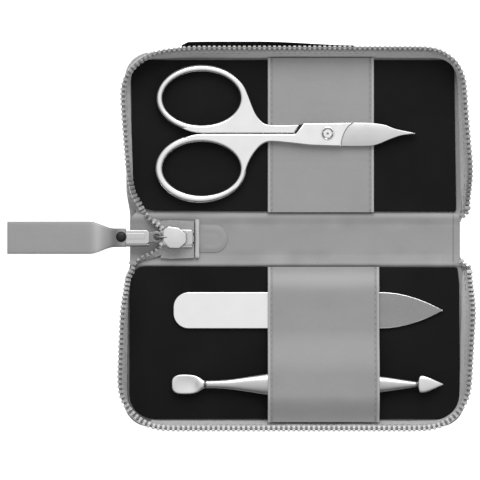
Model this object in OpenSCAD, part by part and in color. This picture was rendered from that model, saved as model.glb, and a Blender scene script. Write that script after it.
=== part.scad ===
// Zip-round manicure case, lying open like a book, with scissors, a nail file and a cuticle tool.
// X runs along the spine, +Y towards the upper half, +Z up. The origin is the centre of the
// spine's outer face. Each half is drawn in its own plan, x along the spine and d away from the
// fold line, and is then set beside the spine.

/* [Case] */
// Length of each half along the spine, over the zip teeth
case_l = 121.6; // [118:0.2:140]
// Depth of each half, from its fold line to the outside of the zip teeth
half_d = 57.4; // [56:0.2:70]
// Width of the spine between the two fold lines, which is also the closed inside depth
spine_w = 18; // [17.5:0.5:26]
// How much shorter the spine is than the covers, at each end
spine_inset = 2.6; // [1:0.1:3]
// Radius of the zip's curve round the far corners
rim_r = 13.5; // [11:0.5:18]
// Radius of the wall's foot round the far corners
foot_r = 8; // [7:0.5:10]
// How far each wall leans outwards between its foot and its top
wall_lean = 2.4; // [1:0.2:3]
// Thickness of the wall, which is tape and leather sewn together
wall_t = 0.8; // [0.6:0.1:1.2]
// Height of the zip above the table where it meets the fold line
wall_end_z = 4.6; // [4:0.1:5.5]
// Distance from the fold over which the wall rises to its full height
wall_ramp = 16; // [14:0.5:24]
// Sideways reach of the slanted corner where the left wall meets the spine
cut_x = 4.2; // [3:0.1:6]
// Depth of the slanted corner where the left wall meets the spine
cut_d = 7.6; // [5:0.1:10]

/* [Layers] */
// Thickness of the outer leather
cover_t = 0.9; // [0.7:0.1:1.4]
// Thickness of the stiffener boards
board_t = 1; // [0.6:0.1:1.6]
// Thickness of the lining
lining_t = 0.5; // [0.3:0.1:1]
// Thickness of the black cloth-covered panels
panel_t = 1.3; // [1:0.1:1.8]
// Space between a panel and the foot of the wall
panel_margin = 1.4; // [1.2:0.1:3]
// Corner radius of the panels
panel_r = 6; // [5:0.5:9]
// How far the outer leather reaches past the wall
cover_lip = 0.6; // [0.2:0.1:0.8]
// Width of the bare strip of cover beside each fold line
board_setback = 1.2; // [0.8:0.1:2]

/* [Zip] */
// Distance from one tooth to the next
tooth_pitch = 1.7; // [1.5:0.05:2.4]
// Width of a tooth along the zip
tooth_w = 1; // [0.7:0.05:1.3]
// Depth of a tooth across the tape
tooth_d = 2.2; // [1.8:0.1:2.4]
// Height of a tooth
tooth_h = 1.5; // [1.2:0.1:1.6]
// Thickness of the zip tape
tape_t = 0.4; // [0.3:0.05:0.5]
// Place of the zip's start across the spine
zip_y = 0.3; // [0:0.1:0.4]
// Distance from the spine's left end to the parked slider's mouth
slider_inset = 7.1; // [5.6:0.1:9]
// Length of the slider
slider_l = 14; // [13:0.5:16]
// Width of the slider
slider_w = 8; // [7.4:0.1:9]
// Thickness of the slider's plates
plate_t = 0.7; // [0.5:0.05:0.9]
// Angle at which each row of teeth leaves the slider
row_angle = 38; // [30:1:45]

/* [Pull] */
// Length of the metal pull bar
pull_l = 12; // [8:0.2:14]
// Width of the metal pull bar
pull_w = 4.9; // [4.6:0.1:5.6]
// Thickness of the metal pull bar
pull_t = 1; // [0.8:0.1:1.2]
// Radius of the pull's eye
eye_r = 2.2; // [2:0.1:2.3]
// Radius of the hole in the pull's eye
eye_hole_r = 1.05; // [0.95:0.05:1.2]
// Radius of the wire of the slider's bridge
bridge_wire_r = 0.55; // [0.4:0.05:0.6]
// Radius of the bridge's front curve
bridge_r = 1.9; // [1.8:0.1:2.2]
// Length of the strap's free part
strap_l = 35.5; // [25:0.5:60]
// Width of the strap
strap_w = 11.1; // [8:0.1:12]
// Width of the strap where it folds round the pull bar
strap_neck_w = 6.4; // [6.2:0.1:6.6]
// Length over which the strap narrows to its neck
strap_taper = 6.8; // [4:0.2:10]
// Length of the strap's folded end over the pull bar
fold_l = 4.7; // [4.2:0.1:6]
// Thickness of the leather of the strap
strap_leather_t = 1; // [0.8:0.1:1.2]
// Radius of the strap rivet's heads
rivet_r = 1.75; // [1.4:0.05:2]
// Radius of the rivet's shank
rivet_shank_r = 0.7; // [0.5:0.05:1]

/* [Bands] */
// Left edge of both bands along the spine
band_x = -9.4; // [-12:0.2:-6]
// Width of the upper band
upper_band_w = 36.1; // [34:0.2:42]
// Width of the lower band
lower_band_w = 37.8; // [34:0.2:42]
// Thickness of the band leather
band_t = 0.8; // [0.6:0.1:1]

/* [Scissors] */
// Pivot of the scissors along the spine
pivot_x = 11.2; // [8:0.2:14]
// Distance of the scissors' centre line from the upper fold
scissors_d = 27; // [26:0.2:30]
// Distance from the pivot to the tip
blade_l = 29.8; // [26:0.2:34]
// Width of the closed blades
blade_w = 7.8; // [7:0.2:8.6]
// Thickness of the bows and shanks
scissors_t = 2.4; // [2:0.1:2.4]
// Distance from the pivot back to the centres of the bows
bow_back = 43; // [40:0.2:44]
// Half length of the finger holes
hole_a = 13.3; // [10:0.1:14]
// Half width of the finger holes
hole_b = 9.2; // [8:0.1:9.8]
// Width of the bow round each finger hole
bow_rim = 2; // [1.6:0.1:2.4]
// Width of each shank
shank_w = 2.9; // [2.4:0.1:3.4]
// Radius of the scissors' screw
screw_r = 1.2; // [0.8:0.1:1.5]
// Radius of the screw's head
screw_head_r = 2.1; // [1.8:0.1:2.6]

/* [Nail file] */
// Distance from the panel's left edge to the file's left end
file_inset = 14.3; // [13.6:0.1:18]
// Distance from the file's point to the panel's right edge
file_point_inset = 5; // [3:0.1:14]
// Width of the nail file
file_w = 12.4; // [10:0.2:13]
// Thickness of the nail file
file_t = 1; // [0.6:0.1:1.4]
// Length of the file's pointed end
file_point_l = 20.5; // [16:0.5:26]
// Distance of the file's centre line from the lower fold
file_d = 15.1; // [13:0.1:16]

/* [Cuticle tool] */
// Distance from the panel's left edge to the cuticle tool's left end
tool_inset = 13.8; // [13.4:0.1:18]
// Distance from the arrow tip's point to the panel's right edge
tool_point_inset = 5.1; // [3:0.1:14]
// Greatest width of the handle
handle_w = 9; // [7:0.1:9.4]
// Greatest thickness of the handle
handle_t = 4.5; // [3.6:0.1:5]
// Length of the spoon tip
spoon_l = 11.6; // [9:0.2:13]
// Width of the spoon tip
spoon_w = 6.6; // [5:0.1:7.5]
// Length of the arrow tip
arrow_l = 9.2; // [7:0.2:11]
// Width of the arrow tip
arrow_w = 6; // [5:0.1:7]
// Distance of the tool's centre line from the lower fold
tool_d = 40.2; // [39:0.1:41]

/* [Fits] */
// Gap between the two rows of teeth when the case is closed
close_gap = 0.3; // [0.2:0.05:0.6]
// Gap between pieces that lie on each other but move apart
rest_gap = 0.1; // [0.05:0.05:0.2]
// Gap between the sewn layers and the wall that stands beside them
layer_gap = 0.2; // [0.1:0.05:0.4]
// Gap between a band and the tools under it
band_gap = 0.3; // [0.2:0.05:0.6]
// Radial clearance of pins in their holes
pin_gap = 0.05; // [0.02:0.01:0.1]

/* [Hidden] */
$fn = 48;
fine = 0.02;
fold_y = spine_w / 2;
inside_z = cover_t + board_t + lining_t;
panel_z = inside_z + panel_t;
rim_top = inside_z + spine_w / 2 - close_gap / 2;
rim_x = case_l / 2 - tooth_d / 2;
rim_d = half_d - tooth_d / 2;
foot_x = rim_x - wall_lean;
foot_d = rim_d - wall_lean;
cover_x = foot_x + wall_t / 2 + cover_lip;
cover_d = foot_d + wall_t / 2 + cover_lip;
spine_x = cover_x - spine_inset;
inner_x = foot_x - wall_t / 2 - layer_gap;
inner_d = foot_d - wall_t / 2 - layer_gap;
panel_x = inner_x + layer_gap - panel_margin;
panel_d = inner_d + layer_gap - panel_margin;
fold_gap = 0.05;
first_d = 0.8;
panel_start = 0.3;
cover_corner_r = 2.5;
board_corner_r = 1;
panel_corner_r = 0.5;
side_steps = 12;
corner_steps = 10;
cut_steps = 4;
end_stop_w = 1.3 * tooth_w;

slider_x = slider_inset - spine_x;
slider_z = inside_z + rest_gap;
channel_play = 0.25;
channel_z = slider_z + plate_t;
channel_h = tooth_h + 2 * channel_play;
teeth_z = channel_z + channel_play;
tape_z = teeth_z + tooth_h / 2 - tape_t / 2;
plate_top = channel_z + channel_h + plate_t;
slider_end = slider_x + slider_l;
slider_waist = 0.6;
shoulder_x = 0.14 * slider_l;
waist_x = 0.57 * slider_l;
wedge_x = 1;
wedge_l = 3;
wedge_half = 0.8;
flange_gap = 0.4;
fork_gap = 1.1;
fork_x = slider_x + wedge_x + wedge_l + fork_gap;
row_y = tooth_d / 2 + fine;
stop_l = 0.9;
tape_margin = 2.9;
tape_half = fold_y - tape_margin;
end_bar_gap = 0.4;
end_bar_x = slider_end + end_bar_gap;
end_bar_w = 1.8;
end_bar_margin = 2.4;
end_bar_half = fold_y - end_bar_margin;
end_bar_proud = 0.3;
end_bar_h = tape_z + tape_t - inside_z + end_bar_proud;
patch_r = 4.75;
patch_l = 9.6;
patch_t = 0.7;

pull_gap = 0.15;
pull_z = plate_top + pull_gap + pull_t / 2;
bridge_inset = 1.7;
bridge_x = slider_x + bridge_inset;
swing_x = bridge_x + bridge_r;
crown_setback = 0.9;
collar_r = 1.15 * bridge_wire_r;
arc_end = 10;
crown_x = swing_x + crown_setback;
crown_l = 7.2;
crown_margin = 0.2;
crown_half = slider_w / 2 - crown_margin;
crown_corner = 2.3;
crown_t = 2 * bridge_wire_r;
crown_z = pull_z + bridge_r - bridge_wire_r;
leg_l = 1.6;
leg_half = 1.5;
eye_join = 0.6;
bar_x = bridge_x - eye_r + eye_join;
bar_end = bar_x - pull_l;
rivet_inset = 1.6;
rivet_x = bar_end + rivet_inset;
rivet_head_t = 0.5;
fold_turn = 1.5;
fold_end = bar_end - fold_turn;
fold_t = pull_t + 2 * strap_leather_t;
flex_gap = 0.2;

scissors_z = panel_z + band_t + rest_gap;
scissors_y = fold_y + scissors_d;
layer_h = (scissors_t - rest_gap) / 2;
part_gap = 0.1;
bow_a = hole_a + 0.9 * bow_rim;
bow_b = hole_b + 1.15 * bow_rim;
bow_y = bow_b + 2 * part_gap;
notch_x = 8.4;
notch_run = 2.7;
screw_head_t = 0.5;
slot_w = 0.4;
slot_depth = 0.2;

file_x = file_inset - panel_x;
file_l = 2 * panel_x - file_inset - file_point_inset;
tool_x = tool_inset - panel_x;
tool_z = panel_z + rest_gap + handle_t / 2;
handle_x = tool_x + spoon_l;
handle_end = panel_x - tool_point_inset - arrow_l;
handle_l = handle_end - handle_x;
neck_gap = 0.05;
widest = 0.4;

leather = [0.60, 0.60, 0.60];
cloth = [0.52, 0.52, 0.52];
black = [0.08, 0.08, 0.08];
steel = [0.86, 0.86, 0.87];
zip_metal = [0.80, 0.80, 0.80];
card = [0.70, 0.66, 0.58];

// Places of the two halves

module upper_half() {
    translate([0, fold_y, 0]) children();
}

module lower_half() {
    mirror([0, 1, 0]) upper_half() children();
}

// Flat plates of one half

module half_outline(hx, hd, start, r, near_r) {
    translate([-hx, start + near_r]) square([2 * hx, hd - r - start - near_r]);
    translate([-hx + r, hd - 2 * r]) square([2 * (hx - r), 2 * r]);
    translate([-hx + near_r, start]) square([2 * (hx - near_r), 2 * near_r]);
    for (side = [-1, 1]) {
        translate([side * (hx - r), hd - r]) circle(r);
        translate([side * (hx - near_r), start + near_r]) circle(near_r);
    }
}

// The same outline with its left near corner cut off, as far inside the wall there as elsewhere
module slanted_plate(hx, hd, start, r, near_r, t) {
    slant = atan2(cut_d - first_d, cut_x);
    inset = foot_x - hx;
    reach = 2 * cut_d;
    linear_extrude(t) difference() {
        half_outline(hx, hd, start, r, near_r);
        translate([-foot_x, cut_d]) rotate(-slant) translate([-reach, inset - reach])
            square([3 * reach, reach]);
    }
}

module half_cover() {
    color(leather) linear_extrude(cover_t)
        half_outline(cover_x, cover_d, fold_gap, foot_r + wall_t / 2 + cover_lip, cover_corner_r);
}

module half_board() {
    color(card) translate([0, 0, cover_t])
        slanted_plate(inner_x, inner_d, board_setback, foot_r - wall_t / 2, board_corner_r, board_t);
}

module half_lining() {
    color(leather) translate([0, 0, cover_t + board_t])
        slanted_plate(inner_x, inner_d, fold_gap, foot_r - wall_t / 2, panel_corner_r, lining_t);
}

module half_panel() {
    color(black) translate([0, 0, inside_z])
        slanted_plate(panel_x, panel_d, panel_start, panel_r, panel_corner_r, panel_t);
}

// Wall and zip of one half. Both outlines run from the right end of the fold line, round the far
// side and back to its left end, and have the same number of stations.

function outline(hx, hd, r) = concat(
    [for (i = [0 : side_steps]) [hx, first_d + (hd - r - first_d) * pow(i / side_steps, 1.5)]],
    [for (i = [1 : corner_steps])
        [hx - r, hd - r] + r * [cos(90 * i / corner_steps), sin(90 * i / corner_steps)]],
    [for (i = [0 : corner_steps])
        [-hx + r, hd - r] + r * [-sin(90 * i / corner_steps), cos(90 * i / corner_steps)]],
    [for (i = [1 : side_steps]) [-hx, cut_d + (hd - r - cut_d) * pow(1 - i / side_steps, 1.5)]],
    [for (i = [1 : cut_steps])
        [-hx + cut_x * i / cut_steps, cut_d + (first_d - cut_d) * i / cut_steps]]
);

function ease(t) = t * t * (3 - 2 * t);

function rim_z(d) = wall_end_z + (rim_top - wall_end_z) * ease(min(1, (d - first_d) / wall_ramp));

foot_line = outline(foot_x, foot_d, foot_r);
rim_line = outline(rim_x, rim_d, rim_r);
stations = len(foot_line);

// Share of the full height, and so of the full lean, that the wall has at a station
function share(i) = (rim_z(rim_line[i][1]) - cover_t) / (rim_top - cover_t);

wall_top = [for (i = [0 : stations - 1])
    let (p = foot_line[i] + (rim_line[i] - foot_line[i]) * share(i))
    [p[0], p[1], rim_z(rim_line[i][1]) - tooth_h]
];

function outward(i) =
    let (a = foot_line[max(0, i - 1)], b = foot_line[min(stations - 1, i + 1)], t = b - a)
    [t[1], -t[0]] / norm(t);

module half_wall() {
    points = [for (i = [0 : stations - 1])
        let (n = outward(i) * wall_t / 2, foot = foot_line[i], top = wall_top[i])
        each [
            [foot[0] - n[0], foot[1] - n[1], cover_t],
            [foot[0] + n[0], foot[1] + n[1], cover_t],
            [top[0] + n[0], top[1] + n[1], top[2]],
            [top[0] - n[0], top[1] - n[1], top[2]]
        ]
    ];
    faces = concat(
        [[0, 1, 2, 3]],
        [for (i = [0 : stations - 2], k = [0 : 3])
            [4 * i + k, 4 * (i + 1) + k, 4 * (i + 1) + (k + 1) % 4, 4 * i + (k + 1) % 4]],
        [[for (k = [3 : -1 : 0]) 4 * (stations - 1) + k]]
    );
    color(cloth) polyhedron(points, faces, convexity = 6);
}

// Distance run along the top of the wall up to each station
function run_length(i) = i == 0 ? 0 : run_length(i - 1) + norm(wall_top[i] - wall_top[i - 1]);

run = [for (i = [0 : stations - 1]) run_length(i)];
zip_length = run[stations - 1];
tooth_count = floor((zip_length - tooth_pitch) / tooth_pitch);
zip_margin = (zip_length - (tooth_count - 1) * tooth_pitch) / 2;

function along(s) = [for (axis = [0 : 2])
    lookup(s, [for (i = [0 : stations - 1]) [run[i], wall_top[i][axis]]])];

// Sets its children on the wall's top at a distance s, x along the zip and y outwards
module on_rim(s) {
    a = along(max(0, s - tooth_w / 2));
    b = along(min(zip_length, s + tooth_w / 2));
    t = (b - a) / norm(b - a);
    flat = norm([t[0], t[1]]);
    n = [t[1] / flat, -t[0] / flat, 0];
    up = cross(n, t);
    p = (a + b) / 2;
    multmatrix([
        [t[0], n[0], up[0], p[0]],
        [t[1], n[1], up[1], p[1]],
        [t[2], n[2], up[2], p[2]]
    ]) children();
}

module half_teeth() {
    color(zip_metal) for (i = [1 : tooth_count - 1]) {
        on_rim(zip_margin + i * tooth_pitch) translate([0, 0, tooth_h / 2 + fine])
            cube([tooth_w, tooth_d, tooth_h], center = true);
    }
}

module half_end_stop() {
    color(zip_metal) on_rim(zip_margin) translate([0, 0, tooth_h / 2 + fine])
        cube([end_stop_w, tooth_d, tooth_h], center = true);
}

// Bands

module upper_band() {
    color(leather) upper_half() translate([band_x, panel_start, panel_z])
        cube([upper_band_w, panel_d - panel_start, band_t]);
}

function rise(d, from, to) = ease(min(1, max(0, (d - from) / (to - from))));

// Height of the lower band's underside over the panel: one taut strip laid over both tools
function under_band(d) =
    let (
        file_top = rest_gap + file_t + band_gap,
        tool_top = rest_gap + handle_t + band_gap,
        file_half = file_w / 2 + band_gap,
        tool_half = handle_w * 0.4
    )
    d < file_d ? file_top * rise(d, panel_start, file_d - file_half)
    : d < tool_d ? file_top + (tool_top - file_top) * rise(d, file_d + file_half, tool_d - tool_half)
    : tool_top * rise(d, panel_d, tool_d + tool_half);

module lower_band() {
    steps = 56;
    span = panel_d - panel_start;
    under = [for (i = [0 : steps]) let (d = panel_start + span * i / steps) [d, under_band(d)]];
    profile = concat(under, [for (i = [steps : -1 : 0]) under[i] + [0, band_t]]);
    color(leather) lower_half() translate([band_x, 0, panel_z]) rotate([90, 0, 90])
        linear_extrude(lower_band_w) polygon(profile);
}

// Spine

module spine_plate(z, half, t) {
    translate([-spine_x, -half, z]) cube([2 * spine_x, 2 * half, t]);
}

module spine_cover() {
    color(leather) spine_plate(0, fold_y - fold_gap, cover_t);
}

module spine_board() {
    color(card) spine_plate(cover_t, fold_y - board_setback, board_t);
}

module spine_lining() {
    color(leather) spine_plate(cover_t + board_t, fold_y - fold_gap, lining_t);
}

// Start of the zip, flat on the spine

module start_row(side) {
    closed = floor((end_bar_x - stop_l - fork_x - tooth_w) / tooth_pitch + 0.15);
    shift = side > 0 ? 0 : tooth_pitch / 2;
    open = floor((tape_half - row_y) / sin(row_angle) / tooth_pitch);
    for (i = [0 : closed - 1]) {
        translate([fork_x + shift + i * tooth_pitch, zip_y + side * row_y - tooth_d / 2, teeth_z])
            cube([tooth_w, tooth_d - 2 * fine, tooth_h]);
    }
    translate([fork_x, zip_y + side * row_y, teeth_z]) rotate([0, 0, 180 - side * row_angle])
        for (i = [1 : open]) {
            translate([i * tooth_pitch - tooth_w / 2 - shift, -tooth_d / 2, 0])
                cube([tooth_w, tooth_d, tooth_h]);
        }
}

module start_teeth() {
    color(zip_metal) {
        start_row(1);
        start_row(-1);
    }
}

module start_tape() {
    inner = row_y + tooth_d / 2 + 2 * fine;
    reach = (tape_half - inner) / tan(row_angle);
    bend_x = fork_x + tooth_d / 2 * tan(row_angle / 2);
    color(cloth) for (side = [-1, 1]) {
        translate([0, zip_y, tape_z]) linear_extrude(tape_t) polygon([
            [end_bar_x - fine, side * inner],
            [bend_x, side * inner],
            [bend_x - reach, side * tape_half],
            [end_bar_x - fine, side * tape_half]
        ]);
    }
}

module bottom_stop() {
    color(zip_metal) translate([end_bar_x - stop_l - fine, zip_y - tooth_d / 2, teeth_z])
        cube([stop_l, tooth_d, tooth_h]);
}

module end_bar() {
    color(cloth) translate([end_bar_x, zip_y - end_bar_half, inside_z])
        cube([end_bar_w, 2 * end_bar_half, end_bar_h]);
}

module end_patch() {
    color(leather) translate([end_bar_x + end_bar_w + fine, zip_y, inside_z])
        linear_extrude(patch_t) {
            translate([0, -patch_r]) square([patch_l - patch_r, 2 * patch_r]);
            translate([patch_l - patch_r, 0]) circle(patch_r);
        }
}

// Slider, drawn with x from its mouth

module slider_plate(z) {
    shoulder = slider_w / 2;
    neck = shoulder - slider_waist;
    translate([0, 0, z]) linear_extrude(plate_t) polygon([
        [0, -neck], [shoulder_x, -shoulder], [waist_x, -shoulder],
        [waist_x + shoulder_x, -neck], [slider_l, -neck],
        [slider_l, neck], [waist_x + shoulder_x, neck],
        [waist_x, shoulder], [shoulder_x, shoulder], [0, neck]
    ]);
}

module slider_body() {
    flange_y = row_y + tooth_d / 2 + flange_gap;
    neck = slider_w / 2 - slider_waist;
    flange_h = (channel_h - tape_t) / 2 - rest_gap;
    color(steel) translate([slider_x, zip_y, 0]) {
        slider_plate(slider_z);
        slider_plate(channel_z + channel_h);
        translate([0, 0, channel_z]) linear_extrude(channel_h) polygon([
            [wedge_x, 0], [wedge_x + wedge_l / 2, -wedge_half],
            [wedge_x + wedge_l, 0], [wedge_x + wedge_l / 2, wedge_half]
        ]);
        for (side = [-1, 1], z = [channel_z, channel_z + channel_h - flange_h]) {
            translate([waist_x, side > 0 ? flange_y : -neck, z])
                cube([slider_l - waist_x, neck - flange_y, flange_h]);
        }
    }
}

module slider_crown() {
    far = crown_x + crown_l;
    color(steel) translate([0, zip_y, 0]) {
        translate([bridge_x, 0, plate_top]) cylinder(h = pull_z - plate_top, r = collar_r);
        translate([swing_x, 0, pull_z]) rotate([90, 0, 0]) rotate([0, 0, 90 - arc_end])
            rotate_extrude(angle = 90 + 2 * arc_end) translate([bridge_r, 0]) circle(bridge_wire_r);
        translate([swing_x, 0, pull_z + bridge_r]) rotate([0, 90, 0])
            cylinder(h = crown_setback + leg_l, r = collar_r);
        translate([0, 0, crown_z]) linear_extrude(crown_t) polygon([
            [crown_x, crown_corner - crown_half], [crown_x + crown_corner, -crown_half],
            [far - crown_corner, -crown_half], [far, crown_corner - crown_half],
            [far, crown_half - crown_corner], [far - crown_corner, crown_half],
            [crown_x + crown_corner, crown_half], [crown_x, crown_half - crown_corner]
        ]);
        translate([far - leg_l, -leg_half, plate_top])
            cube([leg_l, 2 * leg_half, crown_z + fine - plate_top]);
    }
}

// Pull

module pull_bar() {
    color(steel) translate([0, zip_y, pull_z - pull_t / 2]) difference() {
        union() {
            translate([bridge_x, 0, 0]) cylinder(h = pull_t, r = eye_r);
            translate([bar_end, -pull_w / 2, 0]) cube([bar_x - bar_end, pull_w, pull_t]);
        }
        translate([bridge_x, 0, -pull_t]) cylinder(h = 3 * pull_t, r = eye_hole_r);
        translate([rivet_x, 0, -pull_t]) cylinder(h = 3 * pull_t, r = rivet_shank_r + pin_gap);
    }
}

module strap_fold() {
    slot_w = pull_w + 2 * pin_gap;
    slot_t = pull_t + 2 * pin_gap;
    color(leather) translate([0, zip_y, pull_z]) difference() {
        translate([fold_end, -strap_neck_w / 2, -fold_t / 2]) cube([fold_l, strap_neck_w, fold_t]);
        translate([bar_end - pin_gap, -slot_w / 2, -slot_t / 2]) cube([pull_l, slot_w, slot_t]);
        translate([rivet_x, 0, -fold_t]) cylinder(h = 2 * fold_t, r = rivet_shank_r + pin_gap);
    }
}

module strap_rivet() {
    whole_h = fold_t + 2 * rivet_head_t;
    color(black) translate([rivet_x, zip_y, pull_z]) {
        translate([0, 0, -whole_h / 2]) cylinder(h = whole_h, r = rivet_shank_r);
        for (z = [-whole_h / 2, fold_t / 2]) {
            translate([0, 0, z]) cylinder(h = rivet_head_t, r = rivet_r);
        }
    }
}

module pull_strap() {
    free_t = 2 * strap_leather_t;
    color(leather) translate([fold_end - flex_gap, zip_y, pull_z - free_t / 2])
        linear_extrude(free_t) polygon([
            [0, -strap_neck_w / 2], [-strap_taper, -strap_w / 2], [-strap_l, -strap_w / 2],
            [-strap_l, strap_w / 2], [-strap_taper, strap_w / 2], [0, strap_neck_w / 2]
        ]);
}

// Scissors, drawn round the pivot, with this half's bow above the parting line

function oval(a, b, n) = [for (i = [0 : n - 1]) [a * cos(360 * i / n), b * sin(360 * i / n)]];

module bow_and_shank() {
    web_x = bow_a - bow_back;
    w = shank_w;
    top = part_gap + w;
    difference() {
        union() {
            translate([-bow_back, bow_y]) polygon(oval(bow_a, bow_b, 64));
            polygon([
                [-bow_back - w, bow_y - bow_b + 0.15 * w], [-bow_back + 0.35 * w, part_gap],
                [-notch_x - notch_run, part_gap],
                [-notch_x - notch_run * (1 - 2 * w / blade_w), top],
                [web_x + 2.9 * w, top], [web_x + 2.15 * w, top + 0.25 * w],
                [web_x + 1.5 * w, top + 0.9 * w], [web_x + 0.9 * w, bow_y - 0.9 * w],
                [web_x + 0.3 * w, bow_y + 0.6 * w], [web_x - 0.2 * w, bow_y + 0.7 * w],
                [web_x - 0.35 * w, bow_y]
            ]);
        }
        translate([-bow_back, bow_y]) polygon(oval(hole_a, hole_b, 64));
    }
}

module blade_plate() {
    half = blade_w / 2;
    neck = blade_l * 0.52;
    tip_l = blade_l - neck;
    w = shank_w;
    root_x = -notch_x - notch_run - 0.7 * w;
    difference() {
        polygon([
            [root_x, part_gap + 0.15 * w], [root_x + 0.8 * w, -part_gap],
            [-notch_x + 0.1 * w, -half], [neck, -half],
            [neck + tip_l * 0.28, -half * 0.86], [neck + tip_l * 0.52, -half * 0.57],
            [neck + tip_l * 0.73, -half * 0.3], [neck + tip_l * 0.9, -half * 0.17],
            [blade_l, -half * 0.06], [blade_l, half * 0.06],
            [neck + tip_l * 0.9, half * 0.17], [neck + tip_l * 0.73, half * 0.3],
            [neck + tip_l * 0.52, half * 0.57], [neck + tip_l * 0.28, half * 0.86],
            [neck, half], [-notch_x + 0.5 * w, half],
            [-notch_x - 0.5 * w, part_gap + 0.96 * w], [root_x, part_gap + 0.96 * w]
        ]);
        circle(screw_r + pin_gap);
    }
}

module scissors_place() {
    translate([pivot_x, scissors_y, scissors_z]) children();
}

module scissors_frame() {
    color(steel) scissors_place() {
        linear_extrude(scissors_t) bow_and_shank();
        linear_extrude(layer_h) blade_plate();
    }
}

module scissors_arm() {
    color(steel) scissors_place() mirror([0, 1, 0]) {
        linear_extrude(scissors_t) bow_and_shank();
        translate([0, 0, scissors_t - layer_h]) linear_extrude(layer_h) blade_plate();
    }
}

module scissors_screw() {
    color(zip_metal) scissors_place() difference() {
        union() {
            cylinder(h = scissors_t + screw_head_t, r = screw_r);
            translate([0, 0, scissors_t + fine]) cylinder(h = screw_head_t, r = screw_head_r);
        }
        translate([-screw_head_r, -slot_w / 2, scissors_t + screw_head_t - slot_depth])
            cube([2 * screw_head_r, slot_w, screw_head_t]);
    }
}

// Tools of the lower half

module nail_file() {
    half = file_w / 2;
    point_r = (file_point_l * file_point_l + half * half) / file_w;
    shoulder = file_l - file_point_l;
    color(steel) lower_half() translate([file_x, file_d, panel_z + rest_gap])
        linear_extrude(file_t) {
            translate([half, 0]) circle(half);
            translate([half, -half]) square([shoulder - half, file_w]);
            intersection() {
                translate([shoulder, half - point_r]) circle(point_r, $fn = 180);
                translate([shoulder, point_r - half]) circle(point_r, $fn = 180);
                translate([shoulder - fine, -half]) square([2 * file_point_l, file_w]);
            }
        }
}

// A closed body along x through oval sections, each given as place, half width and half height
module oval_body(sections, n) {
    count = len(sections);
    points = [for (s = sections, i = [0 : n - 1])
        [s[0], s[1] * cos(360 * i / n), s[2] * sin(360 * i / n)]];
    faces = concat(
        [[for (i = [0 : n - 1]) i]],
        [for (s = [0 : count - 2], i = [0 : n - 1])
            [s * n + i, (s + 1) * n + i, (s + 1) * n + (i + 1) % n, s * n + (i + 1) % n]],
        [[for (i = [n - 1 : -1 : 0]) (count - 1) * n + i]]
    );
    polyhedron(points, faces, convexity = 4);
}

module tool_place() {
    lower_half() translate([0, tool_d, tool_z]) children();
}

// The handle swells from a slim left neck, slowly at first, and falls away to the right
function swell(u) = u < widest
    ? 0.28 + 0.72 * pow(ease(u / widest), 0.72)
    : 0.21 + 0.79 * (1 - pow((u - widest) / (1 - widest), 1.7));

module tool_handle() {
    steps = 28;
    color(steel) tool_place() oval_body([for (i = [0 : steps])
        let (u = i / steps, k = swell(u), round = max(handle_t / handle_w, min(1, 1.3 - 1.6 * k)))
        [handle_x + handle_l * u, handle_w / 2 * k, handle_w / 2 * k * round]
    ], 20);
}

module tool_spoon() {
    half = spoon_w / 2;
    neck = handle_w * 0.12;
    head_l = 0.72 * spoon_l;
    color(steel) tool_place() oval_body([
        [tool_x, half * 0.55, half * 0.1], [tool_x + head_l * 0.08, half * 0.86, half * 0.15],
        [tool_x + head_l * 0.3, half, half * 0.2], [tool_x + head_l * 0.62, half * 0.97, half * 0.25],
        [tool_x + head_l * 0.85, half * 0.68, half * 0.28], [tool_x + head_l, neck * 1.2, neck],
        [handle_x - neck_gap, neck, neck]
    ], 20);
}

module tool_arrow() {
    half = arrow_w / 2;
    neck = handle_w * 0.095;
    x = handle_end;
    color(steel) tool_place() oval_body([
        [x + neck_gap, neck, neck], [x + arrow_l * 0.14, neck, neck],
        [x + arrow_l * 0.26, half * 0.85, half * 0.3], [x + arrow_l * 0.36, half, half * 0.3],
        [x + arrow_l * 0.6, half * 0.72, half * 0.25], [x + arrow_l * 0.85, half * 0.3, half * 0.16],
        [x + arrow_l, half * 0.07, half * 0.05]
    ], 16);
}

lower_half() half_cover();  // lower_cover
lower_half() half_board();  // lower_board
lower_half() half_lining();  // lower_lining
lower_half() half_panel();  // lower_panel
lower_band();
lower_half() half_wall();  // lower_wall
lower_half() half_teeth();  // lower_teeth
lower_half() half_end_stop();  // lower_end_stop
spine_cover();
spine_board();
spine_lining();
start_tape();
start_teeth();
bottom_stop();
end_bar();
end_patch();
upper_half() half_cover();  // upper_cover
upper_half() half_board();  // upper_board
upper_half() half_lining();  // upper_lining
upper_half() half_panel();  // upper_panel
upper_band();
upper_half() half_wall();  // upper_wall
upper_half() half_teeth();  // upper_teeth
upper_half() half_end_stop();  // upper_end_stop
slider_body();
slider_crown();
pull_bar();
strap_fold();
strap_rivet();
pull_strap();
scissors_frame();
scissors_screw();
scissors_arm();
nail_file();
tool_handle();
tool_spoon();
tool_arrow();
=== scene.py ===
import math
import random

import bmesh
import bpy
from mathutils import Matrix, Vector, noise


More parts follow.
